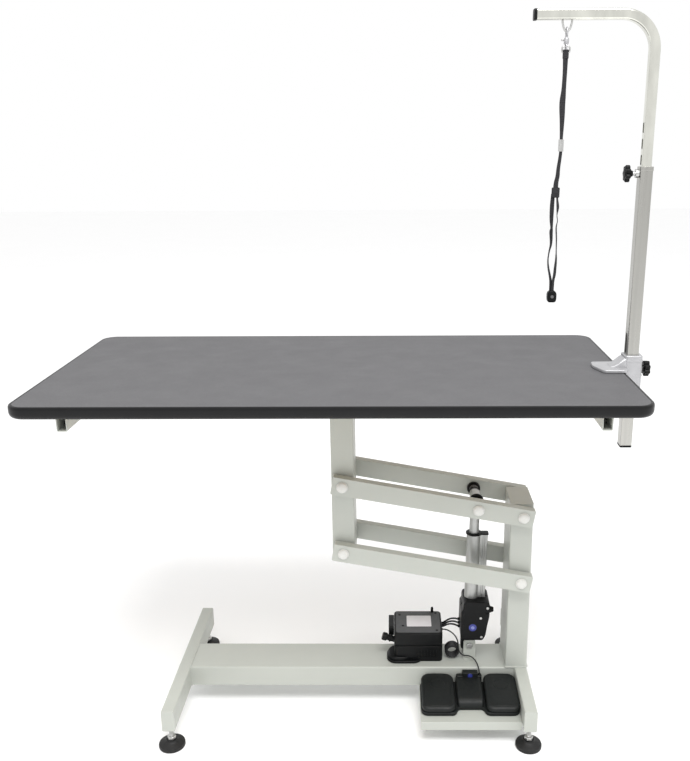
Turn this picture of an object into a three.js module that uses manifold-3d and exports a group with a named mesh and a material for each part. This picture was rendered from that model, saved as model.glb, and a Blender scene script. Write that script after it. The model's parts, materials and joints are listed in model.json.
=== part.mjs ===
// An electric lifting table for grooming dogs, in millimetres, +Z up.
// X runs to the right along the table, Y runs away from the groomer's foot switch.
// Everything is drawn with x = 0 under the middle of the table top, and the whole group is
// then moved so that the origin lies on the floor under the middle of its bounding box.

import * as THREE from 'three';
import { mergeVertices } from 'three/addons/utils/BufferGeometryUtils.js';
import Module from 'manifold-3d';

const manifold = await Module();
manifold.setup();

// ---- driving dimensions -------------------------------------------------------------------

const GAP = 0.3; // clearance between pieces that touch
const WALL = 2; // wall of the thin steel tubes

const TOP = { length: 1200, width: 600, z: 811, corner: 36, edgeHeight: 24, edgeWall: 6 };
const FRAME = { tube: 20, height: 27, centreX: 7, halfSpan: 505, halfLength: 285, railY: 78, rail: 28 };

const BEAM = { y: 50, bottom: 50, top: 100, left: -357, right: 397 };
const FOOT = { width: 28, halfLength: 214, padY: 195, padRadius: 28.5, stemRadius: 5 };
const COLUMN = { width: 50, depth: 50, wall: 3, baseTop: 510, tableBottom: 376 };

const ARM = { length: 400, height: 40, thickness: 20, inner: 55, overhang: 23, angle: 10.4 * Math.PI / 180 };
const PIVOT = { x: 400, upperZ: 488, lowerZ: 330, radius: 8, hole: 8.3, headRadius: 12.5 };
const SHAFT_REACH = 100; // from the base pivot to the actuator's cross shaft, along the upper arms

const CLEVIS_PIN = { x: 295, z: 134, radius: 5 };
const KNOB = { radius: 17, core: 12.5, lobes: 7 };
const POLE = { x: 618, y: -27, size: 25, inner: 20, bottom: 641, top: 1222 };
const CLAMP = { halfWidth: 20, left: 600.6, right: 638, top: 842, bottom: 722, screwX: 565 };
const CROOK = { z: 1503, radius: 65, tip: 386, foot: 972, slots: [1226, 1256.5, 1287], slotHeight: 20 };
const TETHER = { x: 449, wireZ: 1473, eyeZ: 1446, strapTop: 1440, split: 1180, bottom: 955 };

// ---- colours and finishes -----------------------------------------------------------------

function finish(color, roughness, metalness) {
  return new THREE.MeshStandardMaterial({ color, roughness, metalness });
}
const whitePaint = finish(0xdfe1dc, 0.45, 0.1);
const capWhite = finish(0xeeefeb, 0.4, 0);
const blackPlastic = finish(0x1d1f20, 0.5, 0);
const greyPlastic = finish(0x4c4d4e, 0.6, 0);
const steel = finish(0xb4b4b0, 0.3, 0.9);
const castMetal = finish(0xbfc0bd, 0.45, 0.7);
const rubber = finish(0x232323, 0.8, 0);
const matGrey = finish(0x808184, 0.75, 0);
const board = finish(0xb39a74, 0.8, 0);
const webbing = finish(0x1a1a1b, 0.9, 0);

// ---- building blocks ----------------------------------------------------------------------

// Keeps positions only, merges shared corners, drops empty triangles and turns faces outwards.
function tidy(geometry) {
  const bare = new THREE.BufferGeometry();
  bare.setAttribute('position', geometry.getAttribute('position'));
  if (geometry.index) bare.setIndex(geometry.index);
  const merged = mergeVertices(bare, 1e-3);
  const place = merged.getAttribute('position');
  const corner = (i) => new THREE.Vector3().fromBufferAttribute(place, i);
  const faces = [];
  let volume = 0;
  for (let i = 0; i < merged.index.count; i += 3) {
    const [a, b, c] = [0, 1, 2].map((k) => merged.index.getX(i + k));
    if (a === b || b === c || c === a) continue;
    faces.push([a, b, c]);
    volume += corner(a).dot(corner(b).cross(corner(c)));
  }
  merged.setIndex(faces.flatMap(([a, b, c]) => (volume < 0 ? [a, c, b] : [a, b, c])));
  return merged;
}

function toManifold(geometry) {
  const clean = tidy(geometry);
  const mesh = new manifold.Mesh({
    numProp: 3,
    vertProperties: new Float32Array(clean.getAttribute('position').array),
    triVerts: new Uint32Array(clean.index.array),
  });
  return new manifold.Manifold(mesh);
}

function fromManifold(solid) {
  const mesh = solid.getMesh();
  const geometry = new THREE.BufferGeometry();
  geometry.setAttribute('position', new THREE.Float32BufferAttribute(mesh.vertProperties, 3));
  geometry.setIndex(Array.from(mesh.triVerts));
  return geometry;
}

function join(...pieces) {
  return fromManifold(pieces.map(toManifold).reduce((whole, piece) => whole.add(piece)));
}

function cut(blank, ...tools) {
  return fromManifold(tools.map(toManifold).reduce((left, tool) => left.subtract(tool), toManifold(blank)));
}

// A rectangle with round corners, in the plane across an axis.
function rectangle(a0, a1, b0, b1, radius = 0) {
  const shape = new THREE.Shape();
  if (radius === 0) {
    return shape.moveTo(a0, b0).lineTo(a1, b0).lineTo(a1, b1).lineTo(a0, b1);
  }
  shape.absarc(a1 - radius, b0 + radius, radius, -Math.PI / 2, 0);
  shape.absarc(a1 - radius, b1 - radius, radius, 0, Math.PI / 2);
  shape.absarc(a0 + radius, b1 - radius, radius, Math.PI / 2, Math.PI);
  shape.absarc(a0 + radius, b0 + radius, radius, Math.PI, 1.5 * Math.PI);
  return shape;
}

function polygon(points) {
  return new THREE.Shape(points.map(([a, b]) => new THREE.Vector2(a, b)));
}

// Extrudes an outline along x, y or z. The outline's two coordinates are the other two axes, in order.
function prism(axis, from, to, outline, curveSegments = 4) {
  const solid = new THREE.ExtrudeGeometry(outline, { depth: to - from, bevelEnabled: false, curveSegments });
  const [ex, ey, ez] = [new THREE.Vector3(1, 0, 0), new THREE.Vector3(0, 1, 0), new THREE.Vector3(0, 0, 1)];
  if (axis === 'x') return solid.applyMatrix4(new THREE.Matrix4().makeBasis(ey, ez, ex)).translate(from, 0, 0);
  if (axis === 'y') {
    return solid.applyMatrix4(new THREE.Matrix4().makeBasis(ex, ez, ey.negate())).translate(0, to, 0);
  }
  return solid.translate(0, 0, from);
}

// A bar of rectangular section along an axis.
function bar(axis, from, to, a0, a1, b0, b1, radius = 0) {
  return prism(axis, from, to, rectangle(a0, a1, b0, b1, radius), 3);
}

// A round rod along an axis, its centre line at (a, b) on the other two axes.
function rod(axis, from, to, radius, a, b, sides = 16) {
  const solid = new THREE.CylinderGeometry(radius, radius, to - from, sides);
  const middle = (from + to) / 2;
  if (axis === 'x') return solid.rotateZ(-Math.PI / 2).translate(middle, a, b);
  if (axis === 'y') return solid.translate(a, middle, b);
  return solid.rotateX(Math.PI / 2).translate(a, b, middle);
}

// A turned piece: its profile is a list of [radius, distance along the axis].
function turned(axis, profile, a, b, sides = 16) {
  const points = profile.map(([radius, along]) => new THREE.Vector2(radius, along));
  const solid = new THREE.LatheGeometry(points, sides);
  if (axis === 'x') return solid.rotateZ(-Math.PI / 2).translate(0, a, b);
  if (axis === 'y') return solid.translate(a, 0, b);
  return solid.rotateX(Math.PI / 2).translate(a, b, 0);
}

// A round cord along hand-chosen points.
function cord(points, radius, steps, sides) {
  const section = new THREE.Shape().absarc(0, 0, radius, 0, 2 * Math.PI);
  section.curves = [];
  for (let i = 0; i < sides; i += 1) {
    const [p, q] = [i, i + 1].map((k) => (k / sides) * 2 * Math.PI);
    const at = (turn) => new THREE.Vector2(radius * Math.cos(turn), radius * Math.sin(turn));
    section.curves.push(new THREE.LineCurve(at(p), at(q)));
  }
  const route = new THREE.CatmullRomCurve3(points.map((p) => new THREE.Vector3(...p)));
  return new THREE.ExtrudeGeometry(section, { steps, extrudePath: route, curveSegments: 1 });
}

const table = new THREE.Group();

function add(parent, name, geometry, material) {
  const mesh = new THREE.Mesh(tidy(geometry), material);
  mesh.name = name;
  parent.add(mesh);
  return mesh;
}

// ---- base: an H of steel tube with a column on its right end --------------------------------

function hollowBar(axis, from, to, a0, a1, b0, b1, radius, wall) {
  const outside = bar(axis, from, to, a0, a1, b0, b1, radius);
  const inside = bar(axis, from - 1, to + 1, a0 + wall, a1 - wall, b0 + wall, b1 - wall);
  return cut(outside, inside);
}

function footTube(left) {
  const right = left + FOOT.width;
  const end = FOOT.halfLength;
  const outside = bar('y', -end, end, left, right, BEAM.bottom, BEAM.top, 3);
  const inside = bar('y', 3 - end, end - 3, left + WALL, right - WALL, BEAM.bottom + WALL, BEAM.top - WALL);
  const holes = [-FOOT.padY, FOOT.padY].map((y) => (
    rod('z', BEAM.bottom - 1, BEAM.bottom + 5, FOOT.stemRadius + GAP, left + FOOT.width / 2, y)
  ));
  return cut(outside, inside, ...holes);
}

function levellingFoot(x, y) {
  const r = FOOT.padRadius;
  const stem = FOOT.stemRadius;
  const profile = [
    [0, 0], [r - 1.5, 0], [r, 2], [r, 9], [r - 5, 13], [11, 16], [11, 19], [stem, 19], [stem, 86], [0, 86],
  ];
  return turned('z', profile, x, y, 20);
}

function baseColumn() {
  const left = PIVOT.x - COLUMN.width / 2;
  const right = PIVOT.x + COLUMN.width / 2;
  const bottom = BEAM.top + GAP;
  const outside = bar('z', bottom, COLUMN.baseTop, left, right, -COLUMN.depth, COLUMN.depth, 4);
  const w = COLUMN.wall;
  const reach = COLUMN.depth - w;
  const inside = bar('z', bottom - 1, COLUMN.baseTop - w, left + w, right - w, -reach, reach);
  const holes = [PIVOT.upperZ, PIVOT.lowerZ].map((z) => rod('y', -60, 60, PIVOT.hole, PIVOT.x, z));
  return cut(outside, inside, ...holes);
}

const beamEnds = [BEAM.left + GAP, BEAM.right - GAP];
const beam = hollowBar('x', ...beamEnds, -BEAM.y, BEAM.y, BEAM.bottom, BEAM.top, 4, 3);
add(table, 'base_beam', beam, whitePaint);
const footTubes = { left: BEAM.left - FOOT.width, right: BEAM.right };
for (const [side, x] of Object.entries(footTubes)) {
  add(table, `${side}_foot_tube`, footTube(x), whitePaint);
  for (const [end, y] of [['front', -FOOT.padY], ['rear', FOOT.padY]]) {
    add(table, `levelling_foot_${side}_${end}`, levellingFoot(x + FOOT.width / 2, y), rubber);
  }
}
add(table, 'base_column', baseColumn(), whitePaint);

// ---- lift: two pairs of arms that keep the table level ---------------------------------------

const CARRIAGE_X = PIVOT.x - ARM.length * Math.cos(ARM.angle);
const RISE = ARM.length * Math.sin(ARM.angle);

// Drawn along -X from the base pivot.
function liftArm(y0, holesAt) {
  const half = ARM.height / 2;
  const [left, right] = [-ARM.length - ARM.overhang, ARM.overhang];
  const outside = bar('y', y0, y0 + ARM.thickness, left, right, -half, half, 3);
  const [front, rear] = [y0 + WALL, y0 + ARM.thickness - WALL];
  const inside = bar('y', front, rear, left + WALL, right - WALL, WALL - half, half - WALL);
  const holes = holesAt.map((x) => rod('y', y0 - 1, y0 + ARM.thickness + 1, PIVOT.hole, x, 0));
  return cut(outside, inside, ...holes);
}

for (const [level, z] of [['upper', PIVOT.upperZ], ['lower', PIVOT.lowerZ]]) {
  const holes = [0, -ARM.length].concat(level === 'upper' ? [-SHAFT_REACH] : []);
  for (const [side, y0] of [['front', -ARM.inner - ARM.thickness], ['rear', ARM.inner]]) {
    const arm = add(table, `${level}_arm_${side}`, liftArm(y0, holes), whitePaint);
    arm.position.set(PIVOT.x, 0, z);
    arm.rotation.y = ARM.angle;
  }
}

// A shaft across both arms with a domed cap on each end, and collars that space the arms off the column.
function pivotShaft(x, z, collars) {
  const outer = ARM.inner + ARM.thickness + GAP;
  const r = PIVOT.radius;
  const head = PIVOT.headRadius;
  const half = [[r, 0]];
  if (collars) {
    half.push([r, COLUMN.depth + GAP], [12, COLUMN.depth + GAP], [12, ARM.inner - GAP], [r, ARM.inner - GAP]);
  }
  half.push([r, outer], [head, outer], [head, outer + 2.5], [head - 4, outer + 6.2], [0, outer + 7]);
  const profile = half.slice(1).reverse().map(([radius, y]) => [radius, -y]).concat(half.slice(1));
  return turned('y', profile, x, z);
}

const pivots = {
  upper_base: [PIVOT.x, PIVOT.upperZ],
  lower_base: [PIVOT.x, PIVOT.lowerZ],
  upper_table: [CARRIAGE_X, PIVOT.upperZ + RISE],
  lower_table: [CARRIAGE_X, PIVOT.lowerZ + RISE],
};
for (const [name, [x, z]] of Object.entries(pivots)) {
  add(table, `${name}_pivot_shaft`, pivotShaft(x, z, true), capWhite);
}

// ---- actuator: hangs from the cross shaft and stands in a clevis on the beam -----------------

const EYE = {
  x: PIVOT.x - SHAFT_REACH * Math.cos(ARM.angle),
  z: PIVOT.upperZ + SHAFT_REACH * Math.sin(ARM.angle),
};
const ACTUATOR_LENGTH = Math.hypot(EYE.x - CLEVIS_PIN.x, EYE.z - CLEVIS_PIN.z);
const ACTUATOR_TILT = Math.atan2(EYE.x - CLEVIS_PIN.x, EYE.z - CLEVIS_PIN.z);

function ring(axis, from, to, outer, inner, a, b) {
  return cut(rod(axis, from, to, outer, a, b, 20), rod(axis, from - 1, to + 1, inner, a, b));
}

add(table, 'actuator_cross_shaft', pivotShaft(EYE.x, EYE.z, false), steel);
add(table, 'cross_shaft_bush_front', ring('y', -24, -17.4, 16, PIVOT.hole, EYE.x, EYE.z), blackPlastic);
add(table, 'cross_shaft_bush_rear', ring('y', 46, ARM.inner - GAP, 15, PIVOT.hole, EYE.x, EYE.z), blackPlastic);

// The actuator's own frame has the cross shaft at its origin and the clevis pin straight below.
const actuator = new THREE.Group();
actuator.position.set(EYE.x, 0, EYE.z);
actuator.rotation.y = ACTUATOR_TILT;
table.add(actuator);

const TUBE = { top: -90, bottom: -262, radius: 16, bore: 12, railOut: 31, railHalf: 8 };
const HOUSING = { top: -248, bottom: -346, left: -24, right: 41, depth: 33, wall: 2.5 };
const LUG = { half: 8, left: -20.5, right: 11.5, slotLeft: -15, slotRight: 6, slotHalf: 8.2 };

function actuatorRod() {
  const eye = rod('y', -17, 17, 13, 0, 0, 20);
  const stem = rod('z', -200, -5, 11, 0, 0, 20);
  const bore = rod('z', -201, -40, 7.3, 0, 0, 16);
  const shaftHole = rod('y', -18, 18, PIVOT.hole, 0, 0);
  return cut(join(eye, stem), bore, shaftHole);
}

function actuatorTube() {
  const tube = rod('z', TUBE.bottom, TUBE.top, TUBE.radius, 0, 0, 20);
  const rail = bar('z', HOUSING.top + GAP, TUBE.top, 10, TUBE.railOut, -TUBE.railHalf, TUBE.railHalf, 2);
  const collar = rod('z', TUBE.top - 0.5, TUBE.top + 2, TUBE.radius + 2.5, 0, 0, 20);
  const bore = rod('z', TUBE.bottom - 1, TUBE.top + 3, TUBE.bore, 0, 0, 20);
  return cut(join(tube, rail, collar), bore);
}

function housingOutline(inset) {
  const left = HOUSING.left + inset;
  const right = HOUSING.right - inset;
  const top = HOUSING.top - inset;
  const bottom = HOUSING.bottom + inset;
  return polygon([
    [left, bottom + 6], [left + 5, bottom], [right - 13, bottom], [right - 7, bottom + 13],
    [right - 4, -308], [right, -284], [right, top - 6], [right - 3, top], [left + 7, top], [left + 4, top - 6],
    [left + 4, top - 20], [left, top - 24],
  ]);
}

// One half of the gearbox casing, open towards the other half. side is -1 in front and 1 behind.
function casingHalf(side) {
  const span = (near, far) => (side < 0 ? [-far, -near] : [near, far]);
  const shell = prism('y', ...span(GAP / 2, HOUSING.depth), housingOutline(0));
  const cavity = prism('y', ...span(-1, HOUSING.depth - HOUSING.wall), housingOutline(HOUSING.wall));
  const tubeHole = rod('z', HOUSING.top - 12, HOUSING.top + 1, TUBE.radius + GAP, 0, 0, 20);
  return cut(shell, cavity, tubeHole);
}

// The lug under the casing. Its slot leaves the clevis pin room at both ends of the lift.
function mountingLug() {
  const bottom = -ACTUATOR_LENGTH - LUG.slotHalf - 5;
  const plate = bar('y', -LUG.half, LUG.half, LUG.left, LUG.right, bottom, HOUSING.bottom - GAP, 4);
  const root = bar('y', GAP, LUG.half, LUG.left, LUG.right, HOUSING.bottom - 6, HOUSING.bottom + 1);
  const z = [-ACTUATOR_LENGTH - LUG.slotHalf, -ACTUATOR_LENGTH + LUG.slotHalf];
  const slot = bar('y', -10, 10, LUG.slotLeft, LUG.slotRight, ...z, 5);
  return { plate: join(plate, root), slot };
}

add(actuator, 'actuator_rod', actuatorRod(), steel);
add(actuator, 'lead_screw', rod('z', -250, -95, 6, 0, 0, 12), steel);
add(actuator, 'actuator_tube', actuatorTube(), castMetal);
const lug = mountingLug();
add(actuator, 'gearbox_front_shell', casingHalf(-1), blackPlastic);
add(actuator, 'gearbox_rear_shell', cut(join(casingHalf(1), lug.plate), lug.slot), blackPlastic);
add(actuator, 'lift_motor', rod('z', -332, -266, 19, 7, 0, 20), steel);

function clevisBracket() {
  const { x, z, radius } = CLEVIS_PIN;
  const plate = bar('z', BEAM.top + GAP, BEAM.top + 4, x - 15, x + 15, -22, 22, 3);
  const ears = [-13.5, 9.5].map((y) => {
    const ear = bar('y', y, y + 4, x - 14, x + 14, BEAM.top + 1, z + 14, 6);
    const square = bar('y', y, y + 4, x - 14, x + 14, BEAM.top + 1, BEAM.top + 12);
    return join(ear, square);
  });
  return cut(join(plate, ...ears), rod('y', -20, 20, radius + GAP, x, z));
}

add(table, 'clevis_bracket', clevisBracket(), whitePaint);
const pinProfile = [[0, -17.5], [7, -17], [7, -14], [5, -14], [5, 17], [0, 17]];
add(table, 'clevis_pin', turned('y', pinProfile, CLEVIS_PIN.x, CLEVIS_PIN.z), steel);

// ---- control box ----------------------------------------------------------------------------

const BOX = {
  left: 118, right: 231, front: -27, rear: 75, bottom: BEAM.top + GAP, split: 140, top: 174, wall: 2.5,
};

function boxShell(z0, z1, cavity0, cavity1) {
  const { left, right, front, rear, wall } = BOX;
  const shell = bar('z', z0, z1, left, right, front, rear, 6);
  return cut(shell, bar('z', cavity0, cavity1, left + wall, right - wall, front + wall, rear - wall, 4));
}

function boxBase() {
  const tray = boxShell(BOX.bottom, BOX.split, BOX.bottom + BOX.wall, BOX.split + 1);
  const posts = [[130, -15], [219, -15], [130, 63], [219, 63]].map(([x, y]) => (
    rod('z', BOX.bottom + 1, BOX.split - GAP, 4, x, y, 8)
  ));
  const foot = bar('z', BOX.bottom, BOX.bottom + 14, 101, 160, -38, 24, 18);
  const opening = bar('z', BOX.bottom + BOX.wall, BOX.split + 1, BOX.left + 1, 165, BOX.front + 1, 30);
  return join(tray, cut(foot, opening), ...posts);
}

add(table, 'control_box_base', boxBase(), blackPlastic);
add(table, 'control_box_lid', boxShell(BOX.split + GAP, BOX.top, BOX.split, BOX.top - BOX.wall), greyPlastic);
add(table, 'power_inlet', bar('x', 105, BOX.left - GAP, 5, 62, 148, 172, 3), blackPlastic);

// ---- foot switch on its tray ------------------------------------------------------------------

const TRAY = { left: 175.7, right: BEAM.right - GAP, front: -190, top: 56, plate: 3, lip: 20 };
const PEDAL = {
  front: -171, rear: -54, bottom: 67, noseTop: 75, heelTop: 87, width: 74, leftX: 179.5, rightX: 322.6,
};

const trayProfile = polygon([
  [TRAY.front, TRAY.top - TRAY.lip], [TRAY.front + TRAY.plate, TRAY.top - TRAY.lip],
  [TRAY.front + TRAY.plate, TRAY.top - TRAY.plate], [-BEAM.y - GAP, TRAY.top - TRAY.plate],
  [-BEAM.y - GAP, TRAY.top], [TRAY.front, TRAY.top],
]);
add(table, 'foot_switch_tray', prism('x', TRAY.left, TRAY.right, trayProfile), whitePaint);

function footSwitchBody() {
  const floor = TRAY.top + GAP;
  const plate = bar('z', floor, 60, 177, 396.4, -169.5, -54, 8);
  const bridge = bar('x', 258, 318, -155, -58, floor, 83, 5);
  const shoulder = bar('z', floor, 86, 259.5, 321, -66, -53, 3);
  const neck = bar('z', floor, 95, 276, 310, -63, -51, 3);
  const postSpans = [[254.2, 258.5], [317.5, 322]];
  const hingePosts = postSpans.map(([x0, x1]) => bar('x', x0, x1, -72, -64, floor, 74));
  return join(plate, bridge, shoulder, neck, ...hingePosts);
}

const pedalProfile = polygon([
  [PEDAL.front, PEDAL.bottom], [PEDAL.rear, PEDAL.bottom], [PEDAL.rear, PEDAL.heelTop - 3],
  [PEDAL.rear - 4, PEDAL.heelTop], [PEDAL.front + 4, PEDAL.noseTop], [PEDAL.front, PEDAL.noseTop - 3],
]);
add(table, 'foot_switch_body', footSwitchBody(), blackPlastic);
for (const [name, x] of [['down_pedal', PEDAL.leftX], ['up_pedal', PEDAL.rightX]]) {
  add(table, name, prism('x', x, x + PEDAL.width, pedalProfile), blackPlastic);
}

// ---- cables ---------------------------------------------------------------------------------

const CABLE = { thin: 1.5, strand: 2.1, strands: 3 };
const COIL = { x: 254.6, y0: -15, y1: 7, z: 118.4, outer: 18, inner: 11.8 };

// From the foot switch over the front edge of the beam to the right side of the coil.
const switchCable = [
  [315, -58, 86.4], [314.9, -57.9, 90.5], [314.4, -56.6, 96], [313, -53, 101.6], [311, -47.6, 106],
  [308, -40.6, 109.4], [303, -32, 112], [296.6, -25.2, 112.6], [289.6, -20.8, 111.6], [282.8, -18, 110.4],
  [277.4, -16, 110.6], [274, -14.4, 113],
];
// From the front face of the coil, up and over to the right side of the control box.
const switchCableTail = [
  [268.1, -16.9, 119], [268.4, -16.9, 127], [268.3, -16.8, 137.5], [266.4, -16.2, 149], [261.4, -14.4, 159.6],
  [253, -10.4, 167], [244, -4.6, 169.6], [237.4, 0.2, 168.8], [231.9, 2.2, 168],
];
// Three strands side by side from the control box to the left side of the gearbox.
function motorStrand(k) {
  return [
    [232, 40 - 8 * k, 162], [238, 39.4 - 8 * k, 164.6], [245, 36 - 7.8 * k, 172 - k],
    [253, 30 - 7.4 * k, 179.6 - 2.6 * k], [262, 21.4 - 6.4 * k, 185.6 - 4.6 * k],
    [270, 12.8 - 5.2 * k, 188.4 - 6.3 * k],
  ];
}
add(table, 'foot_switch_cable', cord(switchCable, CABLE.thin, 26, 8), blackPlastic);
const coilProfile = [
  [COIL.inner, COIL.y0], [COIL.outer, COIL.y0], [COIL.outer, COIL.y1], [COIL.inner, COIL.y1],
  [COIL.inner, COIL.y0],
];
add(table, 'foot_switch_cable_coil', turned('y', coilProfile, COIL.x, COIL.z, 24), blackPlastic);
add(table, 'foot_switch_cable_tail', cord(switchCableTail, CABLE.thin, 22, 8), blackPlastic);
for (let k = 0; k < CABLE.strands; k += 1) {
  add(table, `motor_cable_${k + 1}`, cord(motorStrand(k), CABLE.strand, 16, 8), blackPlastic);
}

// ---- table: column, frame and top -------------------------------------------------------------

const UNDERSIDE = TOP.z - TOP.edgeHeight;
const frameTop = UNDERSIDE - GAP;

function tableColumn() {
  const left = CARRIAGE_X - COLUMN.width / 2;
  const right = CARRIAGE_X + COLUMN.width / 2;
  const w = COLUMN.wall;
  const plateBottom = frameTop - 6;
  const tube = bar('z', COLUMN.tableBottom, plateBottom + 1, left, right, -COLUMN.depth, COLUMN.depth, 4);
  const inside = bar(
    'z', COLUMN.tableBottom - 1, plateBottom, left + w, right - w, w - COLUMN.depth, COLUMN.depth - w,
  );
  const holes = [PIVOT.upperZ, PIVOT.lowerZ].map((z) => rod('y', -60, 60, PIVOT.hole, CARRIAGE_X, z + RISE));
  const railInner = FRAME.railY - FRAME.rail / 2 - GAP;
  const plate = bar('z', plateBottom, frameTop, left - 45, right + 45, -railInner, railInner);
  return join(cut(tube, inside, ...holes), plate);
}

add(table, 'table_column', tableColumn(), whitePaint);

const frameBottom = frameTop - FRAME.height;
for (const [side, sign] of [['left', -1], ['right', 1]]) {
  const x = FRAME.centreX + sign * FRAME.halfSpan;
  const half = FRAME.tube / 2;
  const y = FRAME.halfLength;
  const tube = hollowBar('y', -y, y, x - half, x + half, frameBottom, frameTop, 3, WALL);
  add(table, `frame_cross_tube_${side}`, tube, whitePaint);
}
for (const [side, y] of [['front', -FRAME.railY], ['rear', FRAME.railY]]) {
  const reach = FRAME.halfSpan - FRAME.tube / 2 - GAP;
  const ends = [FRAME.centreX - reach, FRAME.centreX + reach];
  const half = FRAME.rail / 2;
  const rail = hollowBar('x', ...ends, y - half, y + half, frameBottom, frameTop, 3, WALL);
  add(table, `frame_rail_${side}`, rail, whitePaint);
}

function topOutline(inset) {
  const x = TOP.length / 2 - inset;
  const y = TOP.width / 2 - inset;
  return rectangle(-x, x, -y, y, TOP.corner - inset);
}

const inEdge = TOP.edgeWall + GAP;
add(table, 'table_board', prism('z', UNDERSIDE, TOP.z - 3 - GAP, topOutline(inEdge), 8), board);
add(table, 'table_mat', prism('z', TOP.z - 3, TOP.z, topOutline(inEdge), 8), matGrey);
const edging = cut(
  prism('z', UNDERSIDE, TOP.z, topOutline(0), 8),
  prism('z', UNDERSIDE - 1, TOP.z + 1, topOutline(TOP.edgeWall), 8),
);
add(table, 'table_edging', edging, rubber);

// ---- clamp on the table's right edge ------------------------------------------------------------

function starKnob(from, to, studEnd, y, z) {
  const shape = new THREE.Shape();
  const steps = KNOB.lobes * 6;
  for (let i = 0; i < steps; i += 1) {
    const turn = (i / steps) * 2 * Math.PI;
    const wave = (1 + Math.cos(KNOB.lobes * turn)) / 2;
    const radius = KNOB.core + (KNOB.radius - KNOB.core) * Math.sqrt(wave);
    const point = [y + radius * Math.cos(turn), z + radius * Math.sin(turn)];
    if (i === 0) shape.moveTo(...point);
    else shape.lineTo(...point);
  }
  const inward = studEnd < from;
  const stud = rod('x', inward ? studEnd : to - 1, inward ? from + 1 : studEnd, 4, y, z, 16);
  const hubSpan = inward ? [from - 6, from + 1] : [to - 1, to + 6];
  const hub = rod('x', ...hubSpan, 8, y, z, 16);
  return join(prism('x', from, to, shape), hub, stud);
}

const poleHalf = POLE.size / 2;
const clampKnobZ = 811;
const jawFoot = TOP.z + GAP;

function clampBody() {
  const { left, right, top, bottom, halfWidth, screwX } = CLAMP;
  const [y0, y1] = [POLE.y - halfWidth, POLE.y + halfWidth];
  const block = bar('z', bottom, top, left, right, y0, y1, 3);
  const jaw = bar('z', jawFoot, jawFoot + 6, 535, left + 5, POLE.y - 41, POLE.y + 41, 5);
  const corners = [[545, jawFoot + 5], [left + 5, jawFoot + 5], [left + 5, top - 4]];
  const gusset = prism('y', y0 + 8, y1 - 8, polygon(corners));
  const lowerArm = bar('y', y0 + 6, y1 - 6, screwX - 16, left + 5, bottom, bottom + 14, 3);
  const poleHole = bar(
    'z', bottom - 1, top + 1,
    POLE.x - poleHalf - GAP, POLE.x + poleHalf + GAP, POLE.y - poleHalf - GAP, POLE.y + poleHalf + GAP,
  );
  const screwHole = rod('z', bottom - 1, bottom + 15, 6.3, screwX, POLE.y);
  const knobHole = rod('x', right - 10, right + 1, 4.3, POLE.y, clampKnobZ);
  return cut(join(block, jaw, gusset, lowerArm), poleHole, screwHole, knobHole);
}

add(table, 'clamp_body', clampBody(), castMetal);
const poleFace = POLE.x + poleHalf;
add(table, 'clamp_star_knob', starKnob(645, 657, poleFace + GAP, POLE.y, clampKnobZ), blackPlastic);

const padTop = UNDERSIDE - GAP;
add(table, 'clamp_pad', rod('z', padTop - 5, padTop, 16, CLAMP.screwX, POLE.y), rubber);
const screwBody = join(
  rod('z', 692, padTop - 5 - GAP, 6, CLAMP.screwX, POLE.y),
  rod('z', 690, 704, 9, CLAMP.screwX, POLE.y),
  rod('y', POLE.y - 35, POLE.y + 35, 4, CLAMP.screwX, 697, 12),
);
add(table, 'clamp_screw', screwBody, steel);

// ---- grooming arm: a pole in the clamp and a crook that slides in it ----------------------------

const armKnobZ = 1210;

function lowerPole() {
  const [x0, x1] = [POLE.x - poleHalf, POLE.x + poleHalf];
  const [y0, y1] = [POLE.y - poleHalf, POLE.y + poleHalf];
  const tube = bar('z', POLE.bottom, POLE.top, x0, x1, y0, y1, 2);
  const bore = bar('z', POLE.bottom - 1, POLE.top + 1, x0 + WALL, x1 - WALL, y0 + WALL, y1 - WALL);
  const boss = rod('x', x0 - 5, x0 + 1, 6.5, POLE.y, armKnobZ);
  const bossHole = rod('x', x0 - 6, x0 + 5, 4.3, POLE.y, armKnobZ);
  const slot = bar('x', x0 - 1, x0 + 5, POLE.y - 4, POLE.y + 4, 843, 887, 3.9);
  return cut(join(tube, boss), bore, bossHole, slot);
}

add(table, 'lower_pole', lowerPole(), steel);
const crookFace = POLE.x - POLE.inner / 2;
add(table, 'arm_star_knob', starKnob(577, 589, crookFace - GAP, POLE.y, armKnobZ), blackPlastic);

// The crook's centre line with a margin on each side: up the pole, round the bend, and out to the tip.
function crookOutline(margin, extra) {
  const bendX = POLE.x - CROOK.radius;
  const bendZ = CROOK.z - CROOK.radius;
  const tip = CROOK.tip - extra;
  const foot = CROOK.foot - extra;
  const shape = new THREE.Shape();
  shape.moveTo(POLE.x - margin, foot).lineTo(POLE.x + margin, foot);
  shape.absarc(bendX, bendZ, CROOK.radius + margin, 0, Math.PI / 2);
  shape.lineTo(tip, CROOK.z + margin).lineTo(tip, CROOK.z - margin);
  shape.absarc(bendX, bendZ, CROOK.radius - margin, Math.PI / 2, 0, true);
  return shape;
}

function crook() {
  const half = POLE.inner / 2;
  const bore = half - 1.5;
  const outside = prism('y', POLE.y - half, POLE.y + half, crookOutline(half, 0), 10);
  const inside = prism('y', POLE.y - bore, POLE.y + bore, crookOutline(bore, 1), 10);
  const slots = CROOK.slots.map((z) => (
    bar('x', crookFace - 1, crookFace + 4, POLE.y - 4, POLE.y + 4, z, z + CROOK.slotHeight, 3.9)
  ));
  return cut(outside, inside, ...slots);
}

// ---- tether ------------------------------------------------------------------------------------

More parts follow.
